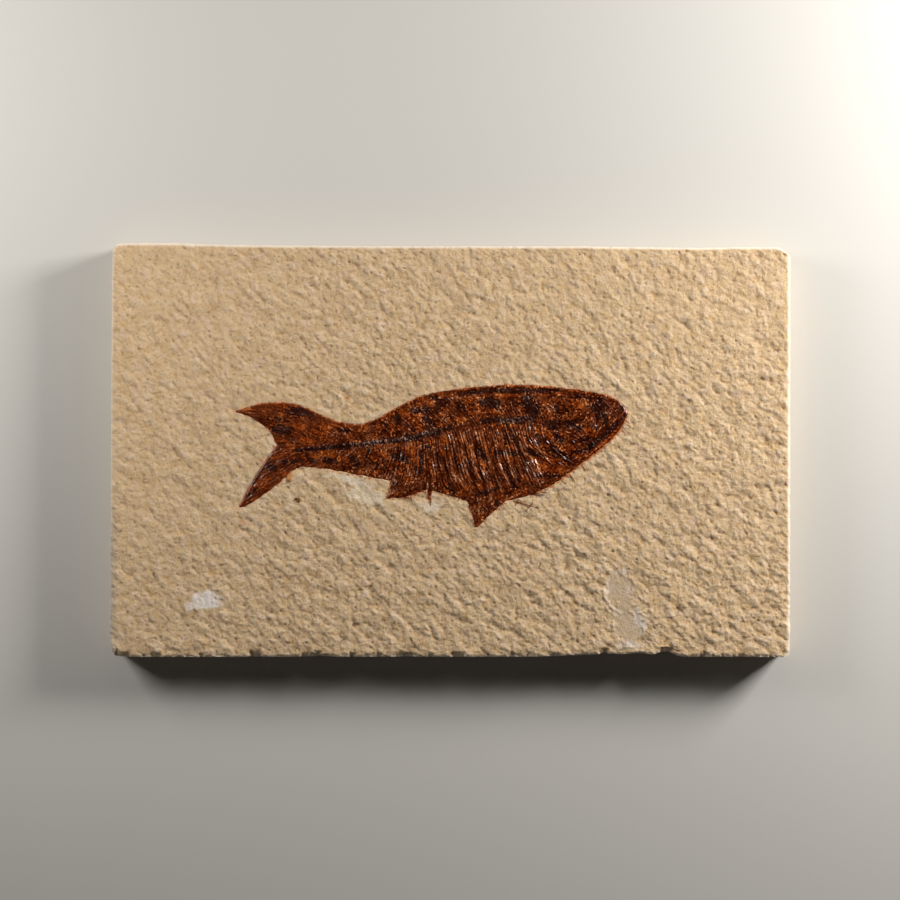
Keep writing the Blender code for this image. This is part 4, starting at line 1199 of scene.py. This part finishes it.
half_chart_x, half_chart_y = np.ptp(chart_x) / 2, np.ptp(chart_y) / 2
on_chart = (np.abs(SX - chart_x.mean()) < half_chart_x) & (np.abs(SY - chart_y.mean()) < half_chart_y)
stone_inset = np.where(on_chart, read_chart(inset, SX, SY), -FAR)
halo = smooth_step((2.6 + stone_inset + 1.2 * soft_noise(SX, SY, 2.6, 103)) / 2.4)
rim = smooth_step(1 - np.abs(stone_inset + 0.15) / 0.40)
rim *= smooth_step(0.7 + 0.9 * soft_noise(SX, SY, 2.2, 104))
rubbed_left = smooth_step((-30 - SX + 0.25 * SY) / 45)

# %% Patches, in pixels of the photograph: (x, y, half x, half y in mm, turn, strength, seed)
powder = patches([(206.5, 600, 4.4, 2.7, 4, 1, 101), (190, 606, 1.6, 1.4, 0, 0.6, 107)])
scar = patches([(621, 590, 4.6, 5.0, 0, 1, 101), (628, 624, 6.6, 4.3, 112, 1, 109)])
scrape = patches([
    (352, 481, 6.5, 1.2, -17, 0.8, 117), (366, 496, 6.5, 2.4, -12, 0.6, 119),
    (430, 507, 3.6, 1.8, 0, 0.7, 121),
])
# Whitish, crushed places round the scar
bruise = patches([
    (619, 572, 2.2, 1.3, 0, 0.8, 620), (609, 588, 1.6, 2.4, 0, 0.55, 610), (631, 590, 1.5, 2.2, 0, 0.55, 632),
    (640, 620, 4.6, 2.2, 112, 0.85, 641), (630, 645, 3.8, 2.2, 0, 0.7, 631),
], blur=1.1, uneven=0.6)
# Rust and ochre specks
stain = patches([
    (348, 398, 1.0, 0.55, 0, 1.0, 348), (565, 316, 0.5, 0.4, 0, 0.9, 565), (583, 361, 0.4, 0.4, 0, 0.8, 583),
    (737, 272, 0.5, 0.4, 0, 0.8, 737), (710, 317, 0.4, 0.35, 0, 0.7, 710), (412, 534, 0.9, 0.6, 0, 0.6, 412),
    (262, 460, 0.8, 1.0, 0, 0.8, 262), (244, 523, 1.9, 0.8, 0, 0.5, 244), (418, 604, 0.7, 0.5, 0, 0.6, 418),
    (389, 604, 0.6, 0.5, 0, 0.6, 389), (570, 476, 1.3, 0.5, 0, 0.7, 570), (411, 498, 1.6, 0.4, 0, 0.5, 411),
    (505, 333, 0.6, 0.5, 0, 0.4, 505), (662, 412, 0.7, 0.6, 0, 0.4, 662), (330, 585, 0.9, 0.6, 0, 0.4, 330),
    (160, 330, 0.8, 0.6, 0, 0.3, 160),
], blur=0.8)
for name, mask in (("powder", powder), ("scar", scar), ("scrape", scrape)):
    print(name, "covers", int((mask > 0.5).sum() * FACE_STEP**2), "mm2")

# %% The scar's crescent
CRESCENT = [(603.7, 590), (605, 598), (608.3, 603.5), (612.8, 608.1), (621, 613.5)]
CRESCENT_HALF = 0.55
crescent_line = np.array([at_pixel(*p) for p in CRESCENT])
crescent = np.zeros(SX.shape)
near_scar = np.hypot(SX - crescent_line[2, 0], SY - crescent_line[2, 1]) < 12
from_crescent, _ = to_line(SX[near_scar], SY[near_scar], crescent_line)
crescent[near_scar] = smooth_step(1 - from_crescent / CRESCENT_HALF)

# %% Height of the face
SCAR_DEPTH, CRESCENT_HEIGHT, BED_DEPTH = 0.22, 0.16, 0.75

# The relief is lower at the upper right and higher in the lower strip, and some places are smoother.
# The arris has been rubbed smooth, most of all on the right and at the top
gain = (1 - 0.18 * smooth_step((SY - 5) / 45) * smooth_step((SX + 40) / 80))
gain *= 1 + 0.10 * smooth_step((-SY - 10) / 30)
# This mask also paints a highlight on the right and top arris
rubbed_edge_and_highlight = smooth_step(1.25 - np.minimum(FROM_RIGHT, FROM_TOP) / 0.8)
SMOOTHED = (
    (rubbed_left, 0.25), (halo, 0.18), (scar, 0.78), (powder, 0.5), (scrape, 0.5), (rubbed_edge_and_highlight, 0.7),
)
for mask, share in SMOOTHED:
    gain *= 1 - share * mask
broad = mixed_noise(SX, SY, (0.10, 14, 131), (0.07, 30, 132))
HEIGHT = FACE_Z + gain * relief + broad - SCAR_DEPTH * scar + CRESCENT_HEIGHT * crescent
HEIGHT += powder * mixed_noise(SX, SY, (0.05, 0.6, 133))
# Under the fish the stone is sunk, so that it doesn't come through the bone
HEIGHT -= BED_DEPTH * smooth_step((stone_inset - 0.12) / 0.5)

# %% The worn arris and the bites out of it
ARRIS, ARRIS_DROP = 0.62, 0.34
ARRIS_CORNER = 2.5

s = np.clip(1 - np.minimum(FROM_LEFT, FROM_RIGHT) / ARRIS_CORNER, 0, 1)
t = np.clip(1 - np.minimum(FROM_BOTTOM, FROM_TOP) / ARRIS_CORNER, 0, 1)
from_border = ARRIS_CORNER * (1 - np.sqrt(s**2 + t**2 - s**2 * t**2))
bite = np.zeros(SX.shape)
low_edge = FROM_BOTTOM < 3
for first, last, depth in BITES:
    x0, x1 = at_pixel(first, 0)[0], at_pixel(last, 0)[0]
    middle, half = (x0 + x1) / 2, (x1 - x0) / 2 + 0.25
    along = np.abs(SX - middle) / half * (1 + 0.3 * soft_noise(SX, SY, 0.9, 135))
    bite = np.where(low_edge, np.maximum(bite, depth * smooth_step((1.15 - along) / 0.5)), bite)
worn = 1 + mixed_noise(SX, SY, (0.40, 3.1, 137), (0.25, 1.0, 138))
arris_width = ARRIS * worn * (1 + 0.5 * rubbed_edge_and_highlight) + 1.1 * bite
arris_drop = ARRIS_DROP * worn + 0.9 * bite
curl = np.clip(1 - from_border / np.maximum(arris_width, 0.1), 0, 1)
HEIGHT = HEIGHT - arris_drop * curl**1.3 - 0.05 * smooth_step(1 - from_border / 1.6)
print("face height:", HEIGHT.min().round(2), "to", HEIGHT.max().round(2), "mm")

# %% [markdown]
# ## Sides and back
#
# The rock is a stack of thin yearly layers of lake mud. On the broken sides they show as fine
# ledges. The sides are rows of points below the border: each row is moved in by a relief that
# changes quickly from layer to layer and slowly along the side. The back was sawn, so it is flat
# and only closes the skin.

# %% The ring of border points
SIDE_ROWS = 30
LEDGE = 0.42
BACK_ARRIS = 0.35

rows_count, columns_count = SX.shape
index = np.arange(rows_count * columns_count).reshape(rows_count, columns_count)
ring = np.concatenate([index[0, :-1], index[:-1, -1], index[-1, :0:-1], index[:0:-1, 0]])
face_points = np.column_stack([SX.ravel(), SY.ravel(), HEIGHT.ravel()])
ring_points = face_points[ring]
smoothed = ring_points[:, :2].copy()
for _ in range(6):
    smoothed = (np.roll(smoothed, 1, 0) + 2 * smoothed + np.roll(smoothed, -1, 0)) / 4
ring_out = outward(smoothed)
ring_along = np.concatenate([[0], np.cumsum(np.hypot(*np.diff(ring_points[:, :2], axis=0).T))])

# %% Layers, and the rows of points below the border
# Layer thicknesses come from chance, and each layer stands in by its own amount
rng = np.random.default_rng(151)
layer_tops = np.cumsum(0.28 + 0.55 * rng.random(40))
layer_depth = rng.random(40)


def ledges(along, z):
    """How far in the side lies, in mm, at a place along it and a height."""
    bent = z + 0.18 * soft_noise(along, z * 0, 22, 153) + 0.10 * soft_noise(along, z * 0, 5, 154)
    layer = np.searchsorted(layer_tops, np.clip(bent, 0, 14))
    inside_layer = layer_depth[layer] * (0.6 + 0.4 * soft_noise(along, layer * 7.0, 6.0, 155))
    flakes = 0.5 + 0.5 * soft_noise(along, z * 1.7, 2.2, 156)
    bits = 0.5 * soft_noise(along, z * 1.3, 0.9, 157) + 0.3 * soft_noise(along, z * 1.2, 0.45, 158)
    return LEDGE * np.clip(0.45 * inside_layer + 0.45 * flakes + 0.22 * bits, 0, 1.2)


side_rows = []
for row in range(1, SIDE_ROWS + 1):
    down = row / SIDE_ROWS
    down = 0.5 * (down + smooth_step(down))
    z = ring_points[:, 2] * (1 - down)
    moved = ledges(ring_along, z) * smooth_step(down / 0.06)
    moved += BACK_ARRIS * (1 - np.sqrt(np.clip(1 - np.clip(1 - z / BACK_ARRIS, 0, 1) ** 2, 0, 1)))
    side_rows.append(np.column_stack([ring_points[:, :2] - moved[:, None] * ring_out, z]))
side_points = np.vstack(side_rows)
ring_size = len(ring)
side_index = np.vstack([ring, len(face_points) + np.arange(len(side_points)).reshape(SIDE_ROWS, ring_size)])
print("border ring:", ring_size, "points,", round(float(ring_along[-1])), "mm round")

# %% The back: a net inside the last row
BACK_STEP, BACK_MARGIN = 1.1, 2.2
SAW_DEPTH = 0.05

foot_ring = side_rows[-1][:, :2]
half_length, half_width = SLAB_LENGTH / 2 - BACK_MARGIN, SLAB_WIDTH / 2 - BACK_MARGIN
lattice = honeycomb((-half_length, -half_width), (half_length + 0.1, half_width + 0.1), BACK_STEP)
lattice = lattice[(lattice[:, 0] < half_length) & (lattice[:, 1] < half_width)]
back_net, back_faces = delaunay_net(np.vstack([foot_ring, lattice]), ring_size)
saw = 0.5 + 0.5 * np.sin(2 * np.pi * (back_net[:, 0] + 0.004 * back_net[:, 1] ** 2) / 7.0)
back_z = SAW_DEPTH * saw * (0.5 + 0.5 * soft_noise(back_net[:, 0], back_net[:, 1], 9.0, 161))
back_z[:ring_size] = 0
back_start = len(face_points) + len(side_points)
back_at = np.concatenate([side_index[-1], back_start + np.arange(len(back_net) - ring_size)])
back_points = np.column_stack([back_net[ring_size:], np.clip(back_z[ring_size:], 0, None)])
back_faces = [tuple(int(back_at[k]) for k in reversed(face)) for face in back_faces]
print("back:", len(back_net), "points,", len(back_faces), "triangles")

# %% One skin
skin = np.vstack([face_points, side_points, back_points])
face_quads = np.column_stack([
    index[:-1, :-1].ravel(), index[:-1, 1:].ravel(), index[1:, 1:].ravel(), index[1:, :-1].ravel()
])
ahead_index = np.roll(side_index, -1, axis=1)
side_quads = np.column_stack([
    ahead_index[:-1].ravel(), side_index[:-1].ravel(), side_index[1:].ravel(), ahead_index[1:].ravel()
])


def skin_normals(points, quads, triangles):
    """Normals of all the skin's points, so that pieces cut from it shade as one."""
    normals = np.zeros(points.shape)
    a, b, c, d = (points[quads[:, k]] for k in range(4))
    crossed = np.cross(c - a, d - b)
    for k in range(4):
        np.add.at(normals, quads[:, k], crossed)
    three = np.array(triangles)
    a, b, c = (points[three[:, k]] for k in range(3))
    crossed = np.cross(b - a, c - a)
    for k in range(3):
        np.add.at(normals, three[:, k], crossed)
    return normals / np.maximum(np.linalg.norm(normals, axis=1), 1e-12)[:, None]


# %% Marks for the finish, and the skin's normals
all_normals = skin_normals(skin, np.vstack([face_quads, side_quads]), back_faces)
marks = {
    # Painted shade, with some brown film, in the hollows and pits, and a painted highlight on the tops
    "crevice_film_and_shade": np.clip(crevice_film_and_shade * gain, 0, 1),
    "crest_highlight": crest_highlight * gain,
    "halo": halo,
    "rim": rim,
    "powder": powder,
    "bruise": np.maximum(bruise, 0.7 * crescent),
    "scrape": scrape,
    "scar": scar,
    "stain": stain,
    # The arris is paler: wear all round, with a painted highlight on the right and top edges
    "worn": smooth_step((0.55 + 0.45 * rubbed_edge_and_highlight) * (1.2 - from_border / 0.8)),
    "grey edge": smooth_step(1 - FROM_LEFT / 2.6) * smooth_step((-SY - 8) / 16),
}
off_face = np.zeros(len(skin) - SX.size)
marks = {name: np.concatenate([chart.ravel(), off_face]) for name, chart in marks.items()}


# %% Cut the skin into pieces
def cut_piece(name, faces, with_marks):
    """A piece of the skin, from some of its faces."""
    faces = np.asarray(faces)
    used, local = np.unique(faces, return_inverse=True)
    local = local.reshape(faces.shape)
    given = {label: values[used] for label, values in marks.items()} if with_marks else {}
    points, normals = skin[used], all_normals[used]
    return new_piece(name, points, local.tolist(), "limestone_slab", given, normals)


QUARTERS = ("left_end", "tail_side", "head_side", "right_end")
quarter = np.digitize(skin[face_quads, 0].mean(axis=1), (-SLAB_LENGTH / 4, 0, SLAB_LENGTH / 4))
face_pieces = [
    cut_piece("pecked_face_" + name, face_quads[quarter == k], True) for k, name in enumerate(QUARTERS)
]
sides = cut_piece("laminated_sides", side_quads, False)
back = cut_piece("sawn_back", back_faces, False)

# %% [markdown]
# ## Loose bits
#
# The fish's edge is hairy: ends of spines, rays and scales stick out over the stone, most along the
# jaw, the breast and the fins. A few splinters, one scale and a crumb lie free. They are the kind of
# detail that tells the eye how small the fish is. Each hair is a thin tube that tapers to its
# tip and lies half sunk in the stone. The slivers on the fish get the same kind of tube as a needle.
# The scale and the crumbs are little shields with a rough edge.


# %% Hairs
def stone_height(x, y):
    """Height of the pecked face at places well inside the border."""
    u, v = x + SLAB_LENGTH / 2, y + SLAB_WIDTH / 2
    i = np.clip(np.searchsorted(across_lines, u) - 1, 0, len(across_lines) - 2)
    j = np.clip(np.searchsorted(up_lines, v) - 1, 0, len(up_lines) - 2)
    a = (u - across_lines[i]) / (across_lines[i + 1] - across_lines[i])
    b = (v - up_lines[j]) / (up_lines[j + 1] - up_lines[j])
    return blended(HEIGHT, i, j, a, b)


def fish_height(x, y):
    """Height of the fish's finished surface at places on it."""
    return FACE_Z + read_chart(surface, x, y)


HAIR_SIDES = 6


def hair(line, half_width, lift, start=1.0, end=0.3, ground=stone_height):
    """(points, faces) of a closed tube along a flat line, that lies `lift` mm above what it is on."""
    line = np.asarray(line, float)
    ahead = np.gradient(line, axis=0)
    ahead /= np.hypot(*ahead.T)[:, None]
    across = np.column_stack([-ahead[:, 1], ahead[:, 0]])
    level = ground(*line.T) + lift
    level = np.convolve(np.pad(level, 1, mode="edge"), (0.25, 0.5, 0.25), mode="valid")
    points = []
    for turn in np.arange(HAIR_SIDES) * 2 * math.pi / HAIR_SIDES:
        half = half_width * np.linspace(start, end, len(line))
        flat = line + (half * math.cos(turn))[:, None] * across
        points.append(np.column_stack([flat, level + 0.8 * half * math.sin(turn)]))
    points = np.stack(points, axis=1).reshape(-1, 3)
    faces = [(0, *range(HAIR_SIDES - 1, 0, -1)), tuple(range(len(points) - HAIR_SIDES, len(points)))]
    for k in range(0, HAIR_SIDES * (len(line) - 1), HAIR_SIDES):
        for n in range(HAIR_SIDES):
            m = (n + 1) % HAIR_SIDES
            faces.append((k + n, k + m, k + HAIR_SIDES + m, k + HAIR_SIDES + n))
    return points, faces


# %% Chips
CHIP_CORNERS = 18


def chip(px, py, half_x, half_y, thickness, turn, seed):
    """(points, faces) of a small shield with a rough edge, centred on a pixel of the photograph."""
    cx, cy = at_pixel(px, py)
    rng = np.random.default_rng(seed)
    count = CHIP_CORNERS
    around = np.arange(count) * 2 * math.pi / count
    rough = 1 + 0.16 * (rng.random(count) - 0.5) + 0.10 * np.cos(2 * around + seed)
    c, s = math.cos(math.radians(turn)), math.sin(math.radians(turn))
    points = []
    for share, level in ((1.0, -0.25), (1.0, 0.45 * thickness), (0.72, thickness), (0.36, 0.86 * thickness)):
        x, y = share * rough * half_x * np.cos(around), share * rough * half_y * np.sin(around)
        bumps = 0.12 * thickness * rng.random(count) if level > 0 else 0
        points.append(np.column_stack([cx + c * x - s * y, cy + s * x + c * y, level + bumps + 0 * x]))
    points = np.vstack(points + [[[cx, cy, 0.8 * thickness]]])
    points[:, 2] += stone_height(np.array([cx]), np.array([cy]))[0]
    faces = [tuple(range(count - 1, -1, -1))]
    for ring_number in range(3):
        for n in range(count):
            m = (n + 1) % count
            low_ring, high_ring = ring_number * count, (ring_number + 1) * count
            faces.append((low_ring + n, low_ring + m, high_ring + m, high_ring + n))
    faces += [(3 * count + n, 3 * count + (n + 1) % count, 4 * count) for n in range(count)]
    return points, faces


# %% Many small meshes as one piece
def gathered(name, parts):
    """One piece from many small meshes, each with its own tone, char and rust."""
    points, faces, start = [], [], 0
    colour_marks = {"tone": [], "char": [], "rust": []}
    for (part_points, part_faces), *numbers in parts:
        points.append(part_points)
        faces += [tuple(start + k for k in face) for face in part_faces]
        start += len(part_points)
        for label, number in zip(colour_marks, numbers):
            colour_marks[label].append(np.full(len(part_points), number))
    colour_marks = {label: np.concatenate(numbers) for label, numbers in colour_marks.items()}
    return new_piece(name, np.vstack(points), faces, None, colour_marks)


# %% The hairy edge
# Where the edge is hairy, in pixels of the photograph: (x, y, reach in mm, hairs to the millimetre)
HAIRY = [
    (612, 440, 5, 7), (596, 456, 4, 7), (572, 474, 5, 5.5), (548, 486, 4, 4.5), (624, 422, 2.5, 3.5),
    (410, 494, 5, 4), (390, 494, 2.5, 3.5), (350, 476, 8, 2.4), (262, 404, 4, 0.6), (290, 405, 4, 1),
    (310, 412, 4, 1.2), (478, 518, 3, 0.8), (236, 411, 1, 1.5), (500, 500, 4, 1), (450, 494, 5, 1.4),
]
rng = np.random.default_rng(171)
edge_out = outward(fish_edge)
wanted = np.full(len(fish_edge), 0.06)
for px, py, reach_mm, density in HAIRY:
    cx, cy = at_pixel(px, py)
    away = np.hypot(fish_edge[:, 0] - cx, fish_edge[:, 1] - cy)
    wanted = np.maximum(wanted, density * smooth_step(1.3 - away / reach_mm))
fringe = []
for number in np.flatnonzero(rng.random(len(fish_edge)) < wanted * EDGE_STEP):
    base, out = fish_edge[number], edge_out[number]
    lean = float(grain_at(*base))
    along_grain = np.array((math.cos(lean), math.sin(lean)))
    along_grain *= 1 if along_grain @ out > 0 else -1
    way = out + 1.1 * along_grain + 0.7 * (rng.random(2) - 0.5)
    way /= np.hypot(*way)
    length = 0.38 + 0.50 * rng.random() ** 2
    curl_out = 0.25 * (rng.random() - 0.5) * np.array((-way[1], way[0]))
    line = [base + (t * length - 0.18) * way + t**2 * length * curl_out for t in np.linspace(0, 1, 6)]
    half_width = 0.075 + 0.05 * rng.random()
    fringe.append((hair(line, half_width, 0.02), 0.75 + 0.25 * rng.random(), 0.0, 1.0))
print("hairs on the edge:", len(fringe))

# %% Splinters that lie free
# Splinters in pixels of the photograph: (points, half width in mm, tone, char)
SPLINTERS = [
    ([(515.5, 501), (522, 503.4), (529, 505.2), (537.8, 507.8)], 0.1, 0.45, 0.2),
    ([(533, 502), (530.5, 505.5), (527.5, 509), (525, 511.6)], 0.09, 0.4, 0.2),
    ([(517.8, 500), (516.6, 502.8), (515.5, 505.5)], 0.08, 0.4, 0.2),
    ([(520.8, 501), (521.2, 502.6), (521.6, 504.2)], 0.07, 0.5, 0.1),
    ([(536.6, 506.6), (537.8, 507.4), (539, 508.4)], 0.16, 0.3, 0.5),
    ([(529, 493.2), (538, 492.8), (547, 492)], 0.09, 0.35, 0.3),
    ([(532, 494.8), (538, 494.6), (544, 494.2)], 0.08, 0.35, 0.3),
    ([(430.6, 497), (431, 501), (430.6, 505.4)], 0.1, 0.5, 0.1),
    ([(410.6, 495), (411.4, 498), (412.2, 501)], 0.08, 0.5, 0.1),
    ([(406, 495.6), (408.4, 497.8), (410, 499.4)], 0.07, 0.5, 0.1),
    ([(626, 420), (628, 421.6), (630, 423.8)], 0.07, 0.5, 0.1),
    ([(627, 424.6), (629.2, 425.4), (631.2, 427.2)], 0.06, 0.5, 0.1),
    ([(622, 430), (624.4, 432.4), (625.2, 435.4)], 0.06, 0.5, 0.1),
    ([(289.8, 468.6), (290.4, 471.4), (290, 474.4)], 0.08, 0.5, 0.1),
    ([(581, 464), (583.4, 467), (585.6, 470.6)], 0.08, 0.6, 0),
    ([(560, 478.4), (563, 481), (566.8, 483.4)], 0.09, 0.7, 0),
    ([(570, 474), (572.8, 477.4), (574.6, 481)], 0.08, 0.6, 0),
]
for pixels, half_width, pale, black in SPLINTERS:
    line = smooth_curve([at_pixel(*p) for p in pixels], 0.22)
    fringe.append((hair(line, half_width + 0.05, 0.07, 0.8, 0.4), pale + 0.15, 0.6 * black, 0.7))
bone_hairs = gathered("hairs_of_bone", fringe)

# %% Needles of bone on the slivers
# Something round catches a lamp along its whole length, wherever the lamp stands
needles = []
for x0, y0, x1, y1, sliver_height in SLIVERS:
    line = np.linspace(at_pixel(x0, y0), at_pixel(x1, y1), 9)
    line += 0.10 * (rng.random((9, 1)) - 0.5) * (1, 0.4)
    half_width = 0.065 + 0.11 * min(sliver_height, 0.36)
    needle = hair(line, half_width, 0.4 * half_width, 0.9, 0.6, fish_height)
    needles.append((needle, 0.75, 0.2, 0.2))
slivers = gathered("slivers_of_bone", needles)

# %% An amber scale, crumbs and specks: the chip, then its tone, char and rust
loose_bits = gathered("amber_scale_and_crumbs", [
    (chip(290.2, 476.6, 0.74, 1.12, 0.16, -8, 181), 0.9, 0.0, 1.0),
    (chip(289.4, 480.9, 0.52, 0.24, 0.16, -20, 182), 0.3, 0.8, 0.0),
    (chip(296.3, 499.0, 0.40, 0.34, 0.20, 20, 183), 0.2, 1.0, 0.0),
    (chip(298.7, 499.9, 0.40, 0.66, 0.20, -10, 184), 0.2, 0.85, 0.0),
    (chip(712.6, 352.0, 0.16, 0.13, 0.10, 0, 185), 0.0, 1.0, 0.0),
    (chip(575.6, 486.4, 0.18, 0.12, 0.08, 40, 187), 0.6, 0.2, 1.0),
])

# %% [markdown]
# ## Finish of the stone
#
# The slab is lake limestone, a soft rock of very fine calcite mud. It is never glossy: each grain
# scatters light, so the roughness is near its highest and the reflection is weak. What gives it
# life is colour. Freshly pecked calcite is whitish, iron makes it ochre and pink, and old hollows
# hold a brown film. Over the film the hollows also get painted shade, and the tops of the lumps a
# painted highlight. The patches are one to five millimetres across, which is the scale of the
# noises. The grains themselves are some hundredths of a millimetre. They wouldn't show, so the bump
# draws them at a third of a millimetre, as the eye sees clusters of them.


# %% Helpers for the finishes
def new_finish(name, roughness, ior):
    """A material and its shader, with the two values that are the same all over it."""
    finish = bpy.data.materials.new(name)
    finish.use_nodes = True
    shader = finish.node_tree.nodes["Principled BSDF"]
    shader.inputs["Roughness"].default_value = roughness
    shader.inputs["IOR"].default_value = ior
    print("finish:", name)
    return finish, finish.node_tree, shader


def millimetres(tree, stretch=(1, 1, 1)):
    """Places on the object in millimetres, so that a pattern keeps its real size."""
    coordinates = add(tree, "ShaderNodeTexCoord")
    scale = tuple(1 / MM / s for s in stretch)
    mapped = add(tree, "ShaderNodeMapping", {"Vector": coordinates.outputs["Object"], "Scale": scale})
    return mapped.outputs["Vector"]


def paint(given):
    """A hex colour as linear RGBA. A socket stays as it is."""
    return linear(given) if isinstance(given, str) else given


# %% Coats of colour, and grains
def coloured(tree, shader, places, ground, coats):
    """Lays coats over a ground and returns the colour: (colour, where it lies, how strongly).

    A colour is a hex code or a socket. Where it lies is the name of a mark on the mesh, or
    (size in mm, from, to): patches of a noise of that size, none where the noise is below the
    first of the two levels, and full above the second.
    """
    colour = paint(ground)
    for code, where, strength in coats:
        if isinstance(where, str):
            there = add(tree, "ShaderNodeAttribute", attribute_name=where).outputs["Fac"]
        else:
            size, start, full = where
            noise = add(tree, "ShaderNodeTexNoise", {"Vector": places, "Scale": 1 / size, "Detail": 2.5})
            levels = {"Value": noise.outputs["Fac"], "From Min": start, "From Max": full}
            there = add(tree, "ShaderNodeMapRange", levels).outputs["Result"]
        share = add(tree, "ShaderNodeMath", {0: there, 1: strength}, operation="MULTIPLY")
        mixed = {0: share.outputs[0], 6: colour, 7: paint(code)}
        laid = add(tree, "ShaderNodeMix", mixed, data_type="RGBA")
        colour = laid.outputs[2]
    tree.links.new(colour, shader.inputs["Base Color"])
    return colour


def grained(tree, shader, places, size, strength, depth, detail=3.0):
    """A bump of grains about `size` mm across and up to `depth` mm high."""
    grains = {"Vector": places, "Scale": 1 / size, "Detail": detail, "Roughness": 0.6}
    noise = add(tree, "ShaderNodeTexNoise", grains)
    relief = {"Height": noise.outputs["Fac"], "Strength": strength, "Distance": depth * MM}
    tree.links.new(add(tree, "ShaderNodeBump", relief).outputs["Normal"], shader.inputs["Normal"])


# %% Pecked limestone
pecked_stone, tree, shader = new_finish("pecked_lake_limestone", 0.92, 1.49)
shader.inputs["Specular IOR Level"].default_value = 0.25
places = millimetres(tree)
coloured(tree, shader, places, "#c4a680", [
    ("#cdb08a", (5.0, 0.38, 0.62), 1.0),
    ("#c5a06a", (2.4, 0.50, 0.66), 0.45),
    ("#cdaf9c", (3.0, 0.54, 0.70), 0.35),
    ("#d8c8b0", (1.5, 0.56, 0.72), 0.25),
    ("#dcc3a0", "halo", 0.12),
    ("#d9a37a", "rim", 0.55),
    ("#e6dccb", "scrape", 0.6),
    ("#bca78f", "scar", 0.6),
    ("#ddd3ca", "bruise", 0.75),
    ("#e2d8d0", "powder", 0.9),
    ("#b5672a", "stain", 0.75),
    # A painted highlight on the tops, then painted shade with some brown film in the hollows
    ("#dfd0c0", "crest_highlight", 0.45),
    ("#6c3c06", "crevice_film_and_shade", 0.66),
    # Paler arris: wear all round, and a painted highlight on the right and top edges
    ("#e4dacb", "worn", 0.75),
    ("#9c948c", "grey edge", 0.45),
])
grained(tree, shader, places, 0.34, 1.0, 0.17)
for piece in face_pieces:
    piece.data.materials.append(pecked_stone)

# %% Laminated sides
laminated_stone, tree, shader = new_finish("laminated_lake_limestone", 0.9, 1.49)
shader.inputs["Specular IOR Level"].default_value = 0.25
# Layers are about a millimetre thick and much longer, so their pattern is stretched along X and Y.
# Where flakes have broken off, paler and browner patches of one to three millimetres lie over them
layers = millimetres(tree, (45, 45, 1))
places = millimetres(tree)
layered = coloured(tree, shader, layers, "#b89b78", [
    ("#cbb190", (1.3, 0.42, 0.60), 0.6),
    ("#9c8163", (0.6, 0.58, 0.72), 0.35),
])
coloured(tree, shader, places, layered, [
    ("#d6c6ac", (2.6, 0.46, 0.60), 0.60),
    ("#b08d64", (1.3, 0.52, 0.66), 0.50),
    ("#e0d4c0", (0.7, 0.56, 0.68), 0.45),
])
grained(tree, shader, places, 0.45, 1.0, 0.30, 4.0)
sides.data.materials.append(laminated_stone)

# %% Sawn back
# A saw leaves it flatter than the face. Its patches are large, its grains are drawn out by the blade
sawn_stone, tree, shader = new_finish("sawn_lake_limestone", 0.85, 1.49)
shader.inputs["Specular IOR Level"].default_value = 0.3
places = millimetres(tree)
saw_marks = millimetres(tree, (0.8, 26, 1))
coloured(tree, shader, places, "#bda07a", [
    ("#d0b791", (6.0, 0.36, 0.64), 0.9),
    ("#b29470", (2.2, 0.48, 0.68), 0.5),
    ("#d6c3a4", (0.9, 0.55, 0.70), 0.45),
])
grained(tree, shader, saw_marks, 0.6, 0.35, 0.10)
back.data.materials.append(sawn_stone)

# %% [markdown]
# ## Finish of the bone
#
# Fossil bone is calcium phosphate soaked with carbon and iron, red-brown to black. The preparer
# has brushed it with a clear varnish. The varnish is what glints in the photograph: a smooth clear
# layer over a matt brown one. The shader has that as its *coat*. The mesh
# carries three numbers for the colour below it: how pale, how black and how orange each place is.

# %% Varnished fossil bone
bone, tree, shader = new_finish("varnished_fossil_bone", 0.6, 1.56)
shader.inputs["Specular IOR Level"].default_value = 0.0
shader.inputs["Coat Weight"].default_value = 0.8
shader.inputs["Coat Roughness"].default_value = 0.24
shader.inputs["Coat IOR"].default_value = 1.5
places = millimetres(tree)
tone_read = add(tree, "ShaderNodeAttribute", attribute_name="tone").outputs["Fac"]

# The same fibres run on through all three kinds of bone, so each has its own row from dark to pale
BONE_COLOURS = {
    "plain": ["#240600", "#320d00", "#471a04", "#652e14", "#8c5030", "#cc9674"],
    "rusty": ["#2e0800", "#4d1600", "#732b07", "#984614", "#bc6a30", "#e0a066"],
    # The black row ends in grey: painted reflections on the black varnish
    "black": ["#140200", "#1c0501", "#250c06", "#331a13", "#503b34", "#a09088"],
}
bone_colour = {}
for kind, codes in BONE_COLOURS.items():
    row = add(tree, "ShaderNodeValToRGB", {"Fac": tone_read})
    stops = row.color_ramp.elements
    while len(stops) < len(codes):
        stops.new(0.5)
    for number, code in enumerate(codes):
        stops[number].position = number / (len(codes) - 1)
        stops[number].color = linear(code)
    bone_colour[kind] = row.outputs["Color"]
coloured(tree, shader, places, bone_colour["plain"], [
    (bone_colour["rusty"], "rust", 0.80),
    (bone_colour["black"], "char", 0.92),
])
# The pores of bone are some hundredths of a millimetre wide, so the bump draws them coarser
grained(tree, shader, places, 0.28, 0.35, 0.06, 2.0)
for piece in (fish, bone_hairs, slivers):
    piece.data.materials.append(bone)

# %% Amber scale
# A single scale has no black core: it is as clear and yellow as thin amber, browner at one end
amber, tree, shader = new_finish("amber_scale", 0.45, 1.54)
places = millimetres(tree)
coloured(tree, shader, places, "#b87d45", [
    ("#d39a62", (0.9, 0.45, 0.60), 0.6),
    ("#4e2f08", "char", 0.95),
])
grained(tree, shader, places, 0.3, 0.5, 0.06, 2.0)
loose_bits.data.materials.append(amber)
